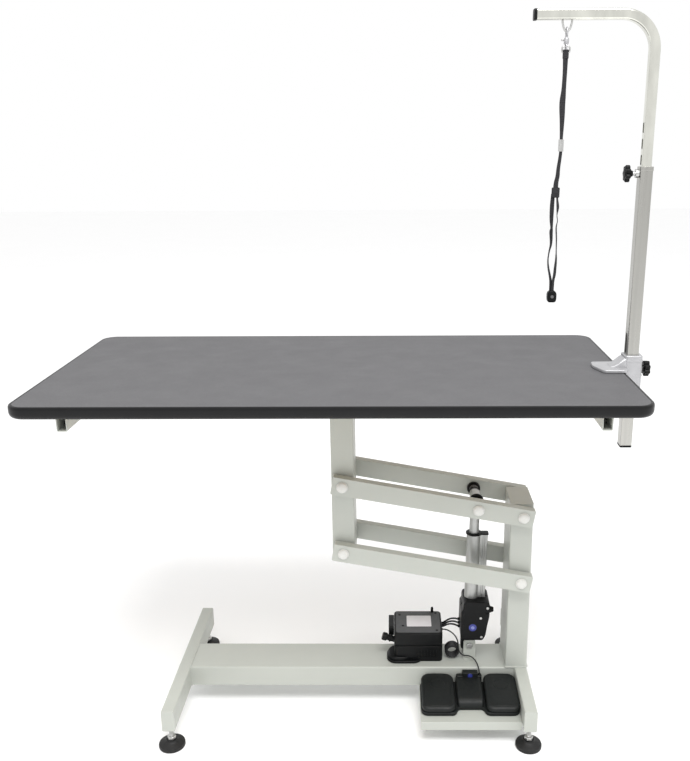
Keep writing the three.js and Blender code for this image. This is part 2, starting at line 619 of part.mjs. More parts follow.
const armUnderside = CROOK.z - POLE.inner / 2;
const wireRoute = [
  [TETHER.x - 9, POLE.y, armUnderside + 1], [TETHER.x - 8.4, POLE.y, armUnderside - 5],
  [TETHER.x - 4.5, POLE.y, TETHER.wireZ + 3], [TETHER.x, POLE.y, TETHER.wireZ],
  [TETHER.x + 4.5, POLE.y, TETHER.wireZ + 3], [TETHER.x + 8.4, POLE.y, armUnderside - 5],
  [TETHER.x + 9, POLE.y, armUnderside + 1],
];
add(table, 'grooming_arm', join(crook(), cord(wireRoute, 2, 20, 8)), steel);

function snapHook() {
  const { x, wireZ, eyeZ } = TETHER;
  const bow = ring('x', x - 2.5, x + 2.5, 8.5, 5, POLE.y, wireZ);
  const neck = rod('z', eyeZ + 9, wireZ - 6, 3, x, POLE.y, 12);
  const barrel = rod('z', eyeZ + 5, eyeZ + 15, 5, x, POLE.y, 16);
  const eye = ring('x', x - 2.5, x + 2.5, 7, 4, POLE.y, eyeZ);
  return join(bow, neck, barrel, eye);
}

function tetherStrap() {
  const { x, eyeZ, strapTop, split, bottom } = TETHER;
  const [y0, y1] = [POLE.y - 1.25, POLE.y + 1.25];
  const [flat0, flat1] = [POLE.y - 5, POLE.y + 5];
  const dRing = cut(
    bar('y', POLE.y - 1.5, POLE.y + 1.5, x - 9, x + 9, strapTop - 10, eyeZ + 1.5, 4),
    bar('y', POLE.y - 3, POLE.y + 3, x - 6, x + 6, strapTop - 7, eyeZ - 1.5, 2),
  );
  const band = bar('y', y0, y1, x - 5.5, x + 5.5, split - 10, strapTop - 8);
  const yoke = bar('y', flat0, flat1, x - 15, x + 5, split - 12, split);
  const legs = [x - 15, x + 1].map((x0) => bar('y', flat0, flat1, x0, x0 + 3, bottom, split - 5));
  const turn = bar('y', flat0, flat1, x - 15, x + 4, bottom, bottom + 3);
  return join(dRing, band, yoke, ...legs, turn);
}

function strapSlide(z0, z1, halves, y, slots) {
  const [x0, x1] = halves;
  const blank = bar('y', POLE.y - y, POLE.y + y, x0, x1, z0, z1, 2);
  const cutters = slots.map(([a0, a1, half]) => bar('z', z0 - 1, z1 + 1, a0, a1, POLE.y - half, POLE.y + half));
  return cut(blank, ...cutters);
}

add(table, 'snap_hook', snapHook(), steel);
const [triggerLeft, triggerRight] = [TETHER.x - 10, TETHER.x - 5 - GAP];
const triggerSlide = bar('x', triggerLeft, triggerRight, POLE.y - 2, POLE.y + 2, 1456, 1460.5, 1);
add(table, 'snap_trigger', triggerSlide, steel);
add(table, 'tether_strap', tetherStrap(), webbing);
const bandSlot = [TETHER.x - 5.5 - GAP, TETHER.x + 5.5 + GAP, 1.25 + GAP];
add(table, 'tether_slider', strapSlide(1253, 1276, [TETHER.x - 8, TETHER.x + 8], 4, [bandSlot]), steel);
const legSlots = [TETHER.x - 15, TETHER.x + 1].map((x0) => [x0 - GAP, x0 + 3 + GAP, 5 + GAP]);
add(table, 'tether_lock', strapSlide(959, 979, [TETHER.x - 18, TETHER.x + 7], 8, legSlots), blackPlastic);

// ---- place the origin ---------------------------------------------------------------------------

const knobReach = 657;
table.position.x = (TOP.length / 2 - knobReach) / 2;

export default table;
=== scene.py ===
"""Looks for the electric lifting grooming table: fine shapes, cords, materials, light and camera."""

import json
import math

import bmesh
import bpy
from mathutils import Matrix, Vector

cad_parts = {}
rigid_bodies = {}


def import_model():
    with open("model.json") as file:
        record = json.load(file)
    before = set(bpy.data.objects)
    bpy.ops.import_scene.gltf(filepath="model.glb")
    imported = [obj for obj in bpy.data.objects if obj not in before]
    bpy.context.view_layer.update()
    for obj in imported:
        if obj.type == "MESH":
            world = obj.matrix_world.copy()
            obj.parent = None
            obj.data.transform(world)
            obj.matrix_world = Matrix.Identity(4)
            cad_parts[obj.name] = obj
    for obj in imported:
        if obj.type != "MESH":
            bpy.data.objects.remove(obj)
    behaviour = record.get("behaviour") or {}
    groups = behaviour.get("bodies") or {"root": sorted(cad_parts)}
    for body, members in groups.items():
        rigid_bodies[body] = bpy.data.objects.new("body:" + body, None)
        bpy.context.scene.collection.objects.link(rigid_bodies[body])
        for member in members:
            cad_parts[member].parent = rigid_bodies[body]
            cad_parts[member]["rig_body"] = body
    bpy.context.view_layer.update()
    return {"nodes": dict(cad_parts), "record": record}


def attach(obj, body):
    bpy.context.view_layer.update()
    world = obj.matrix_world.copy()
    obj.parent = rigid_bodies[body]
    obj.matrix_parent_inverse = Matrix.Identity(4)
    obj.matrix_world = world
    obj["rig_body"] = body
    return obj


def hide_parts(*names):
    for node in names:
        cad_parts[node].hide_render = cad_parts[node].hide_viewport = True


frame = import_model()
nodes = frame["nodes"]

MM = 0.001
SHIFT_X = -28.5  # the row's origin lies this far to the right of the middle of the table top


def at(x, y, z):
    """A point in metres in the row frame, from millimetres measured from under the middle of the top."""
    return Vector(((x + SHIFT_X) * MM, y * MM, z * MM))


def body_of(node):
    """The name of the moving body that a CAD node belongs to."""
    return nodes[node]["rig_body"]


def new_object(name, data):
    """An object in the scene with this data."""
    made = bpy.data.objects.new(name, data)
    bpy.context.scene.collection.objects.link(made)
    return made


# ---- camera ----

IMAGE_HEIGHT = 761
FOCAL_PX = 859.7
CAMERA_AT = (116.6, -1790.2, 1275.7)
CAMERA_YAW, CAMERA_PITCH, CAMERA_ROLL = -0.0125, 0.2826, -0.0062
SHIFT_PX = (37.6, 9.8)


def add_camera():
    """A camera turned by its yaw, pitch and roll."""
    data = bpy.data.cameras.new("camera")
    camera = new_object("camera", data)
    cos_p, sin_p = math.cos(CAMERA_PITCH), math.sin(CAMERA_PITCH)
    cos_y, sin_y = math.cos(CAMERA_YAW), math.sin(CAMERA_YAW)
    ahead = Vector((sin_y * cos_p, cos_y * cos_p, -sin_p))
    level = Vector((cos_y, -sin_y, 0))
    upright = level.cross(ahead)
    right = level * math.cos(CAMERA_ROLL) + upright * math.sin(CAMERA_ROLL)
    up = upright * math.cos(CAMERA_ROLL) - level * math.sin(CAMERA_ROLL)
    turn = Matrix((right, up, -ahead)).transposed()
    camera.matrix_world = Matrix.Translation(at(*CAMERA_AT)) @ turn.to_4x4()
    data.sensor_width = 36
    data.lens = FOCAL_PX * data.sensor_width / IMAGE_HEIGHT
    data.shift_x = -SHIFT_PX[0] / IMAGE_HEIGHT
    data.shift_y = SHIFT_PX[1] / IMAGE_HEIGHT
    data.clip_start, data.clip_end = 0.05, 50
    bpy.context.scene.camera = camera


add_camera()

# ---- materials ----

WAVE_RATE = 20  # how many radians the wave texture turns in a metre, at a scale of 1


class Paint:
    """Builds one node material: a colour with mottling, a roughness that varies, and bumps."""

    def __init__(self, name, color, roughness, metallic=0.0, specular=0.5):
        self.material = bpy.data.materials.new(name)
        self.material.use_nodes = True
        self.tree = self.material.node_tree
        self.shader = self.tree.nodes["Principled BSDF"]
        self.fill(self.shader, Base_Color=(*color, 1), Roughness=roughness, Metallic=metallic)
        self.fill(self.shader, Specular_IOR_Level=specular)
        self.color = color
        self.roughness = roughness
        self.place = self.tree.nodes.new("ShaderNodeTexCoord").outputs["Object"]
        self.normal = None

    def link(self, source, target):
        self.tree.links.new(source, target)

    def fill(self, node, **values):
        """Sets inputs of a node. An underscore in a name stands for a space."""
        for name, value in values.items():
            node.inputs[name.replace("_", " ")].default_value = value
        return node

    def node(self, kind, **values):
        return self.fill(self.tree.nodes.new(kind), **values)

    def noise(self, size, detail=3.0, stretch=(1, 1, 1)):
        """Noise whose grains are about size millimetres across."""
        spread = self.node("ShaderNodeMapping", Scale=stretch)
        self.link(self.place, spread.inputs["Vector"])
        node = self.node("ShaderNodeTexNoise", Scale=1 / (size * MM), Detail=detail)
        self.link(spread.outputs["Vector"], node.inputs["Vector"])
        return node.outputs["Fac"]

    def ramp(self, factor, low, high, start=0.3, stop=0.7):
        """Maps a factor from start..stop on to low..high."""
        node = self.node("ShaderNodeMapRange", From_Min=start, From_Max=stop, To_Min=low, To_Max=high)
        self.link(factor, node.inputs["Value"])
        return node.outputs["Result"]

    def mottle(self, size, amount, stretch=(1, 1, 1)):
        """Lets the colour wander a little lighter and darker."""
        mix = self.tree.nodes.new("ShaderNodeMix")
        mix.data_type = "RGBA"
        mix.blend_type = "MIX"
        dark = tuple(c * (1 - amount) for c in self.color)
        light = tuple(min(1, c * (1 + amount)) for c in self.color)
        self.fill(mix, A=(*dark, 1), B=(*light, 1))
        self.link(self.ramp(self.noise(size, 4, stretch), 0, 1), mix.inputs["Factor"])
        self.link(mix.outputs["Result"], self.shader.inputs["Base Color"])
        return self

    def polish(self, size, spread, stretch=(1, 1, 1)):
        """Lets the roughness wander by plus or minus spread."""
        low, high = self.roughness - spread, self.roughness + spread
        self.link(self.ramp(self.noise(size, 3, stretch), low, high), self.shader.inputs["Roughness"])
        return self

    def bump(self, height, factor):
        """Adds bumps of height millimetres from a factor."""
        node = self.node("ShaderNodeBump", Distance=height * MM, Strength=1)
        self.link(factor, node.inputs["Height"])
        if self.normal is not None:
            self.link(self.normal, node.inputs["Normal"])
        self.normal = node.outputs["Normal"]
        self.link(self.normal, self.shader.inputs["Normal"])
        return self

    def grain(self, size, height, stretch=(1, 1, 1)):
        return self.bump(height, self.noise(size, 2, stretch))

    def weave(self, width, height, axis="Z"):
        """Ridges and grooves across the webbing, each width millimetres wide."""
        scale = math.pi / WAVE_RATE / (width * MM)
        node = self.node("ShaderNodeTexWave", Scale=scale, Distortion=0.6, Detail=1)
        node.bands_direction = axis
        self.link(self.place, node.inputs["Vector"])
        return self.bump(height, node.outputs["Fac"])


def paint(name, color, roughness, mottle, polish, grain, **shader):
    """A finished material from (size, amount) pairs for its colour, polish and grain."""
    return Paint(name, color, roughness, **shader).mottle(*mottle).polish(*polish).grain(*grain).material


WHITE = paint("white_powder_coat", (0.42, 0.436, 0.40), 0.42, (90, 0.018), (30, 0.06), (1.4, 0.05))
CAP_WHITE = paint("white_cap", (0.60, 0.60, 0.575), 0.3, (20, 0.02), (8, 0.05), (3, 0.02))
RIM = paint(
    "rubber_edging", (0.004, 0.004, 0.0045), 0.34, (40, 0.15), (15, 0.06), (0.9, 0.03), specular=0.25,
)
MAT = paint("grey_mat", (0.088, 0.087, 0.091), 0.6, (2.2, 0.12), (60, 0.05), (1.1, 0.16))
WOOD = paint(
    "wood_board", (0.42, 0.30, 0.17), 0.7, (6, 0.12, (1, 6, 6)), (9, 0.05), (1.5, 0.1, (0.2, 1, 1)),
)
BLACK = paint(
    "black_plastic", (0.0028, 0.0032, 0.0034), 0.42, (30, 0.2), (12, 0.07), (0.8, 0.04), specular=0.18,
)
PEDAL = paint(
    "pedal_plastic", (0.0055, 0.007, 0.0068), 0.5, (25, 0.12), (10, 0.06), (0.7, 0.09), specular=0.3,
)
GREY = paint(
    "grey_plastic", (0.066, 0.067, 0.069), 0.55, (30, 0.06), (12, 0.05), (0.7, 0.07), specular=0.35,
)
FOOT = paint("rubber_foot", (0.006, 0.006, 0.006), 0.6, (20, 0.12), (8, 0.06), (1.0, 0.06), specular=0.4)
SHEATH = paint("cable_sheath", (0.010, 0.010, 0.011), 0.42, (15, 0.1), (6, 0.06), (0.6, 0.02), specular=0.4)
# The colour mottle here, stretched along z, is painted reflection: lighter and darker streaks stand in for
# the studio mirrored in the chrome.
CHROME = paint(
    "bright_steel", (0.68, 0.68, 0.625), 0.14, (34, 0.14, (1, 1, 0.35)), (25, 0.06), (14, 0.05),
    metallic=1.0,
)
BRUSHED = paint(
    "brushed_steel", (0.42, 0.415, 0.39), 0.3, (8, 0.05, (1, 1, 0.03)), (10, 0.06, (1, 1, 0.05)),
    (0.5, 0.012, (1, 1, 0.03)), metallic=1.0,
)
ZINC = paint("zinc_steel", (0.55, 0.55, 0.54), 0.33, (12, 0.06), (6, 0.08), (1.5, 0.03), metallic=1.0)
CAST = paint("cast_metal", (0.43, 0.43, 0.44), 0.42, (14, 0.05), (8, 0.06), (1.2, 0.08), metallic=0.6)
ALLOY = paint(
    "anodised_tube", (0.42, 0.425, 0.415), 0.42, (25, 0.03),
    (10, 0.05), (0.6, 0.02, (1, 1, 0.05)), metallic=0.75,
)
LABEL = paint("blank_label", (0.62, 0.60, 0.61), 0.5, (12, 0.03), (6, 0.04), (2, 0.01))
BADGE = paint("blue_badge", (0.03, 0.04, 0.22), 0.25, (4, 0.15), (3, 0.04), (1.5, 0.01))
BADGE_DOT = paint("pale_badge_dot", (0.16, 0.18, 0.42), 0.3, (2, 0.1), (2, 0.04), (1, 0.01))
TIP = paint("grey_plug", (0.095, 0.095, 0.098), 0.5, (10, 0.1), (6, 0.05), (0.9, 0.04))
WEBBING = Paint("webbing", (0.022, 0.022, 0.024), 0.85, specular=0.25).mottle(3, 0.25)
WEBBING = WEBBING.grain(0.7, 0.12, (1, 1, 0.4)).weave(1.6, 0.25).material

FLAT_SLOTS = {
    "white_powder_coat": WHITE,
    "white_cap": CAP_WHITE,
    "bright_steel": ZINC,
    "cast_metal": CAST,
    "black_plastic": BLACK,
    "grey_plastic": GREY,
    "rubber_foot": FOOT,
    "rubber_edging": RIM,
    "grey_mat": MAT,
    "wood_board": WOOD,
    "webbing": WEBBING,
}

SLOT_OF = {material: slot for slot, material in FLAT_SLOTS.items()}
SLOT_OF.update({
    CHROME: "bright_steel",
    BRUSHED: "bright_steel",
    PEDAL: "black_plastic",
    TIP: "grey_plastic",
    LABEL: "white_cap",
    BADGE: "black_plastic",
    BADGE_DOT: "white_cap",
})

for part in frame["record"]["subparts"]:
    slots = nodes[part["node"]].data.materials
    slots.clear()
    slots.append(FLAT_SLOTS[part["material_slot"]])

# ---- cords ----


def smooth_path(points, steps):
    """Points on a smooth curve through the given ones, with steps between each two."""
    marks = [Vector(p) for p in points]
    marks = [2 * marks[0] - marks[1], *marks, 2 * marks[-1] - marks[-2]]
    path = []
    for a, b, c, d in zip(marks, marks[1:], marks[2:], marks[3:]):
        for k in range(steps):
            t = k / steps
            bend = (2 * a - 5 * b + 4 * c - d) * t * t + (3 * b - a - 3 * c + d) * t * t * t
            path.append((2 * b + (c - a) * t + bend) / 2)
    path.append(marks[-2])
    return path


def add_cord(name, route, diameter, stands_for):
    """A free cord along a route in millimetres, from its first point to where it goes into the object."""
    data = bpy.data.curves.new(name, "CURVE")
    data.dimensions = "3D"
    data.bevel_depth = diameter / 2 * MM
    data.bevel_resolution = 3
    data.use_fill_caps = True
    data.resolution_u = 3
    spline = data.splines.new("NURBS")
    spline.points.add(len(route) - 1)
    for point, place in zip(spline.points, route):
        point.co = (*at(*place), 1)
    spline.order_u = 4
    spline.use_endpoint_u = True
    data.materials.append(SHEATH)
    cord = new_object(name, data)
    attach(cord, "base")
    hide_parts(*stands_for)


COIL = {"x": 254.6, "z": 118.4, "outer": 16.45, "inner": 13.35, "front": -13.5, "rear": 5.1}


def coil_points(radius_at, y_at, turns):
    """A winding seen from the front that runs up at the right and left over the top."""
    count = round(turns * 16)
    points = []
    for k in range(1, count + 1):
        share = k / count
        turn = 2 * math.pi * turns * share
        radius = radius_at(share)
        x, z = COIL["x"] + radius * math.cos(turn), COIL["z"] + radius * math.sin(turn)
        points.append((x, y_at(share), z))
    return points


def switch_cable_route():
    """From the foot switch over the edge of the beam, round the coil, and on to the control box."""
    lead = [
        (315, -58, 86.4), (314.9, -57.9, 90.5), (314.4, -56.6, 96), (313, -53, 101.6), (311, -47.6, 106),
        (308, -40.6, 109.4), (303, -32, 112), (296.6, -25.2, 112.6),
        (289.6, -20.8, 111.6), (282.8, -18, 110.6),
        (277.2, -15.8, 111.6), (273, -14, 114.4),
    ]
    outer, inner, front, rear = COIL["outer"], COIL["inner"], COIL["front"], COIL["rear"]
    start = [(COIL["x"] + outer, front, COIL["z"])]
    out = coil_points(lambda s: outer, lambda s: front + (rear - front) * s, 6)
    # one turn steps inwards, then the inner layer comes back to the front
    ease = coil_points(lambda s: outer - (outer - inner) * s, lambda s: rear, 1)
    back = coil_points(lambda s: inner + 0.15 * s, lambda s: rear + (-16.9 - rear) * s, 6)
    tail = [
        (268.4, -16.9, 127), (268.3, -16.8, 137.5), (266.4, -16.2, 149), (261.4, -14.4, 159.6),
        (253, -10.4, 167), (244, -4.6, 169.6), (237.4, 0.2, 168.8), (231.9, 2.2, 168),
    ]
    return smooth_path(lead, 2)[:-1] + start + out + ease + back + smooth_path([back[-1], *tail], 3)[1:]


def motor_strand(k):
    """One of three strands side by side from the control box to the gearbox."""
    return smooth_path([
        (232, 40 - 8 * k, 162), (238, 39.4 - 8 * k, 164.6), (245, 36 - 7.8 * k, 172 - k),
        (253, 30 - 7.4 * k, 179.6 - 2.6 * k), (262, 21.4 - 6.4 * k, 185.6 - 4.6 * k),
        (270, 12.8 - 5.2 * k, 188.4 - 6.3 * k),
    ], 3)


add_cord(
    "foot_switch_lead", switch_cable_route(), 3,
    ["foot_switch_cable", "foot_switch_cable_coil", "foot_switch_cable_tail"],
)
for k, length in enumerate((0.056, 0.0515, 0.048)):
    add_cord(f"motor_lead_{k + 1}", motor_strand(k), 4.2, [f"motor_cable_{k + 1}"])

# ---- building blocks ----


def spot(axis, a, b, along):
    """A point from its place along an axis and its two coordinates across it, in x, y, z order."""
    return {"x": (along, a, b), "y": (a, along, b), "z": (a, b, along)}[axis]


def circle(radius, count, a=0.0, b=0.0):
    turns = [2 * math.pi * k / count for k in range(count)]
    return [(a + radius * math.cos(t), b + radius * math.sin(t)) for t in turns]


def bar(radius, start, stop):
    """The profile of a plain round bar."""
    return [(0, start), (radius, start), (radius, stop), (0, stop)]


def fillet(points, radii, steps=4):
    """Rounds the corners of a closed outline. radii is one number, or one for each corner."""
    count = len(points)
    sizes = radii if isinstance(radii, (list, tuple)) else [radii] * count
    rounded = []
    for i, (point, size) in enumerate(zip(points, sizes)):
        corner = Vector(point)
        before = Vector(points[i - 1]) - corner
        after = Vector(points[(i + 1) % count]) - corner
        if size <= 0:
            rounded.append(tuple(corner))
            continue
        reach = min(size, before.length * 0.49, after.length * 0.49)
        start = corner + before.normalized() * reach
        end = corner + after.normalized() * reach
        for k in range(steps + 1):
            t = k / steps
            # a conic between start and end that is nearly a circle's arc
            weight = 1.4 * t * (1 - t)
            total = (1 - t) ** 2 + weight + t * t
            rounded.append(tuple(((1 - t) ** 2 * start + weight * corner + t * t * end) / total))
    return rounded


def rectangle(a0, a1, b0, b1, radius=0.0, steps=4):
    return fillet([(a0, b0), (a1, b0), (a1, b1), (a0, b1)], radius, steps)


def refine(points, step):
    """A closed outline with points about step millimetres apart."""
    dense = []
    for i, point in enumerate(points):
        start, end = Vector(point), Vector(points[(i + 1) % len(points)])
        steps = max(1, round((end - start).length / step))
        dense += [start.lerp(end, k / steps) for k in range(steps)]
    return dense


def inset(outline, depth):
    """Moves each point of an outline that runs counter-clockwise inwards."""
    if depth == 0:
        return list(outline)
    moved = []
    for i, point in enumerate(outline):
        before = (Vector(point) - Vector(outline[i - 1])).normalized()
        after = (Vector(outline[(i + 1) % len(outline)]) - Vector(point)).normalized()
        inward = Vector((-before.y - after.y, before.x + after.x)).normalized()
        reach = depth / max(0.6, inward.dot(Vector((-before.y, before.x))))
        moved.append(tuple(Vector(point) + inward * reach))
    return moved


def rims(start, stop, edge, steps=3):
    """Places along a prism with the inset there, so that both rims are round."""
    if edge == 0:
        return [(start, 0), (stop, 0)]
    arc = [math.pi / 2 * k / steps for k in range(steps + 1)]
    low = [(start + edge * (1 - math.cos(t)), edge * (1 - math.sin(t))) for t in arc]
    return low + [(start + stop - along, depth) for along, depth in reversed(low)]


class Shape:
    """Closed shells, in millimetres from under the middle of the top, that become one piece."""

    def __init__(self, turn=None):
        self.mesh = bmesh.new()
        self.turn = turn or Matrix.Identity(4)

    def skin(self, loops, closed=False):
        """Faces between loops of points. Both ends are closed unless the last loop meets the first."""
        rows = [[self.mesh.verts.new(Vector(p)) for p in loop] for loop in loops]
        pairs = list(zip(rows, rows[1:]))
        if closed:
            pairs.append((rows[-1], rows[0]))
        for low, high in pairs:
            for i in range(max(len(low), len(high))):
                j = i + 1
                corners = [low[i % len(low)], low[j % len(low)], high[j % len(high)], high[i % len(high)]]
                corners = list(dict.fromkeys(corners))
                if len(corners) > 2:
                    self.mesh.faces.new(corners)
        if not closed:
            for end in (rows[0], rows[-1]):
                if len(end) > 2:
                    self.mesh.faces.new(end)
        return self

    def lathe(self, axis, profile, a, b, sides=40):
        """A turned shell. A profile that starts and ends off the axis closes on itself."""
        loops = []
        for radius, along in profile:
            ring = circle(radius, sides, a, b) if radius > 0 else [(a, b)]
            loops.append([spot(axis, p, q, along) for p, q in ring])
        return self.skin(loops, profile[0][0] > 0 and profile[-1][0] > 0)

    def prism(self, axis, start, stop, outline, edge=0.0, steps=3):
        """An outline drawn out along an axis, with both rims rounded by edge."""
        flat = [(along, inset(outline, depth)) for along, depth in rims(start, stop, edge, steps)]
        return self.skin([[spot(axis, a, b, along) for a, b in loop] for along, loop in flat])

    def hollow(self, axis, start, stop, outer, inner, edge=0.0):
        """A tube between two outlines with the same number of points."""
        outside = [[spot(axis, a, b, z) for a, b in inset(outer, d)] for z, d in rims(start, stop, edge, 2)]
        inside = [[spot(axis, a, b, z) for a, b in inner] for z in (stop, start)]
        return self.skin(outside + inside, closed=True)

    def tube(self, points, radius, sides=14, closed=False):
        """A round wire along points."""
        marks = [Vector(p) for p in points]
        side = None
        loops = []
        for i, mark in enumerate(marks):
            before = marks[i - 1] if i or closed else mark
            after = marks[(i + 1) % len(marks)] if i < len(marks) - 1 or closed else mark
            ahead = (after - before).normalized()
            side = ahead.orthogonal() if side is None else side
            side = (side - ahead * side.dot(ahead)).normalized()
            other = ahead.cross(side)
            loops.append([mark + (side * p + other * q) for p, q in circle(radius, sides)])
        return self.skin(loops, closed)


def make(shape, name, material, stands_for=(), body=None, sharp=38):
    """Turns a shape into a piece that rides with the CAD node it stands for, or with a named body."""
    bmesh.ops.recalc_face_normals(shape.mesh, faces=shape.mesh.faces[:])
    for vert in shape.mesh.verts:
        vert.co = at(*(shape.turn @ vert.co))
    data = bpy.data.meshes.new(name)
    shape.mesh.to_mesh(data)
    shape.mesh.free()
    data.shade_smooth()
    data.set_sharp_from_angle(angle=math.radians(sharp))
    data.materials.append(material)
    piece = new_object(name, data)
    piece.modifiers.new("even", "WEIGHTED_NORMAL").keep_sharp = True
    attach(piece, body or body_of(stands_for[0]))
    if stands_for:
        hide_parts(*stands_for)
    return piece


def carve(shape, *cuts, join=()):
    """Joins closed shapes on to a shape, then cuts others out of it, and gives back a new shape."""
    holders = []
    for part in (shape, *join, *cuts):
        bmesh.ops.recalc_face_normals(part.mesh, faces=part.mesh.faces[:])
        data = bpy.data.meshes.new("carving")
        part.mesh.to_mesh(data)
        part.mesh.free()
        holder = new_object("carving", data)
        holders.append(holder)
    for k, tool in enumerate(holders[1:]):
        cutter = holders[0].modifiers.new("cut", "BOOLEAN")
        cutter.object = tool
        cutter.solver = "MANIFOLD"
        cutter.operation = "UNION" if k < len(join) else "DIFFERENCE"
    done = holders[0].evaluated_get(bpy.context.evaluated_depsgraph_get())
    result = Shape(shape.turn)
    result.mesh.from_mesh(done.to_mesh())
    for holder in holders:
        bpy.data.objects.remove(holder)
    return result


def ease_edges(names, width, material=None):
    """Rounds the hard edges of CAD nodes with modifiers, which leave their meshes as they are."""
    for name in names:
        node = nodes[name]
        if material:
            node.data.materials[0] = material
        node.data.shade_smooth()
        node.modifiers.new("weld", "WELD").merge_threshold = 0.01 * MM
        flat = node.modifiers.new("flat", "DECIMATE")
        flat.decimate_type = "DISSOLVE"
        flat.angle_limit = math.radians(1)
        bevel = node.modifiers.new("bevel", "BEVEL")
        bevel.width = width * MM
        bevel.segments = 3
        bevel.limit_method = "ANGLE"
        bevel.angle_limit = math.radians(40)
        bevel.harden_normals = True
        node.modifiers.new("even", "WEIGHTED_NORMAL").keep_sharp = True


ease_edges([
    "base_beam", "left_foot_tube", "right_foot_tube", "base_column", "table_column", "foot_switch_tray",
    "upper_arm_front", "upper_arm_rear", "lower_arm_front", "lower_arm_rear", "frame_cross_tube_left",
    "frame_cross_tube_right", "frame_rail_front", "frame_rail_rear", "clevis_bracket",
], 1.1)
ease_edges(["lower_pole"], 0.8, BRUSHED)
ease_edges(["table_board", "table_mat"], 0.8)

# ---- table top ----

TOP_Z = 811
TOP_CORNER = 36


def top_outline(depth):
    """The table top's outline, depth millimetres in from its edge."""
    x, y, radius = 600 - depth, 300 - depth, TOP_CORNER - depth
    corners = [
        (x - radius, y - radius), (radius - x, y - radius), (radius - x, radius - y),
        (x - radius, radius - y),
    ]
    outline = []
    for quarter, (cx, cy) in enumerate(corners):
        for k in range(13):
            turn = math.pi / 2 * (quarter + k / 12)
            outline.append((cx + radius * math.cos(turn), cy + radius * math.sin(turn)))
    return outline


def add_edging():
    """The rubber moulding round the top."""
    profile = [
        (6, 810.4), (5, 811), (3, 810.8), (1.3, 809.7), (0.35, 807.6), (0, 804.5), (0, 797),
        (0.5, 793.6), (1.7, 790.7), (3.6, 788.4), (6, 787),
    ]
    shape = Shape().skin([[(x, y, z) for x, y in top_outline(depth)] for depth, z in profile], closed=True)
    make(shape, "edging_moulding", RIM, ["table_edging"], sharp=30)


add_edging()

# ---- small hardware ----


def hexagon(radius, count=24):
    """A hexagon drawn with count points, so that it joins on to a circle."""
    outline = []
    for k in range(count):
        turn = 2 * math.pi * k / count
        wedge = turn % (math.pi / 3) - math.pi / 6
        reach = radius * math.cos(math.pi / 6) / math.cos(wedge)
        outline.append((reach * math.cos(turn), reach * math.sin(turn)))
    return outline


def add_screw(shape, axis, a, b, face, radius, height, socket=True):
    """A round screw head that stands on a face. A negative height points down the axis."""
    rings = [(circle(radius, 24), 0), (circle(radius, 24), 0.45), (circle(radius * 0.86, 24), 0.9)]
    rings.append((circle(radius * 0.7, 24), 1))
    if socket:
        rings += [(hexagon(radius * 0.5), 1), (hexagon(radius * 0.46), 0.35)]
    loops = [[spot(axis, a + p, b + q, face + height * share) for p, q in ring] for ring, share in rings]
    if socket:
        loops.append([spot(axis, a, b, face + height * 0.35)])
    shape.skin(loops)


def add_nut(shape, axis, a, b, start, stop, radius):
    """A hexagon nut with its corners turned off."""
    rings = [
        (circle(radius * 0.84, 24), start), (hexagon(radius), start + 0.8), (hexagon(radius), stop - 0.8),
    ]
    rings.append((circle(radius * 0.84, 24), stop))
    shape.skin([[spot(axis, a + p, b + q, along) for p, q in ring] for ring, along in rings])


def domed_cap(sign, start):
    """The profile of a washer with a domed cap on it, pointing along sign."""
    washer = [(0, -6), (7.5, -6), (7.5, 0), (12.5, 0), (12.5, 1.3), (12, 1.7)]
    profile = [(radius, start + out) for radius, out in washer]
    for k in range(8):
        turn = math.pi / 2 * k / 7
        profile.append((11.5 * math.cos(turn) ** 0.8 if k < 7 else 0, start + 2 + 5 * math.sin(turn)))
    return [(radius, sign * along) for radius, along in profile]


ARM_FACE = 75.3
PIVOTS = {
    "upper_base": (400, 488),
    "lower_base": (400, 330),
    "upper_table": (6.57, 560.21),
    "lower_table": (6.57, 402.21),
}
EYE_X, EYE_Z = 301.643, 506.052


SHAFT_RADIUS, SHAFT_END = 7.9, 69


def shaft_with_caps(node, name, x, z):
    """Makes the white caps outside the arms, and gives back the bare shaft between them."""
    caps = Shape()
    for sign in (-1, 1):
        caps.lathe("y", domed_cap(sign, ARM_FACE), x, z)
    make(caps, name, CAP_WHITE, [node])
    return Shape().lathe("y", bar(SHAFT_RADIUS, -SHAFT_END, SHAFT_END), x, z, 32)


def add_pivot(name, x, z):
    """White caps outside the arms, and the steel shaft with its spacers between the arms."""
    node = f"{name}_pivot_shaft"
    shaft = shaft_with_caps(node, f"{name}_pivot_caps", x, z)
    for sign in (-1, 1):
        spacer = [(8.3, 50.5), (11.4, 50.5), (12, 51), (12, 54.2), (11.4, 54.7), (8.3, 54.7)]
        shaft.lathe("y", [(radius, sign * y) for radius, y in spacer], x, z, 32)
    make(shaft, f"{name}_pivot_rod", ZINC, body=body_of(node))


for pivot_name, (pivot_x, pivot_z) in PIVOTS.items():
    add_pivot(pivot_name, pivot_x, pivot_z)


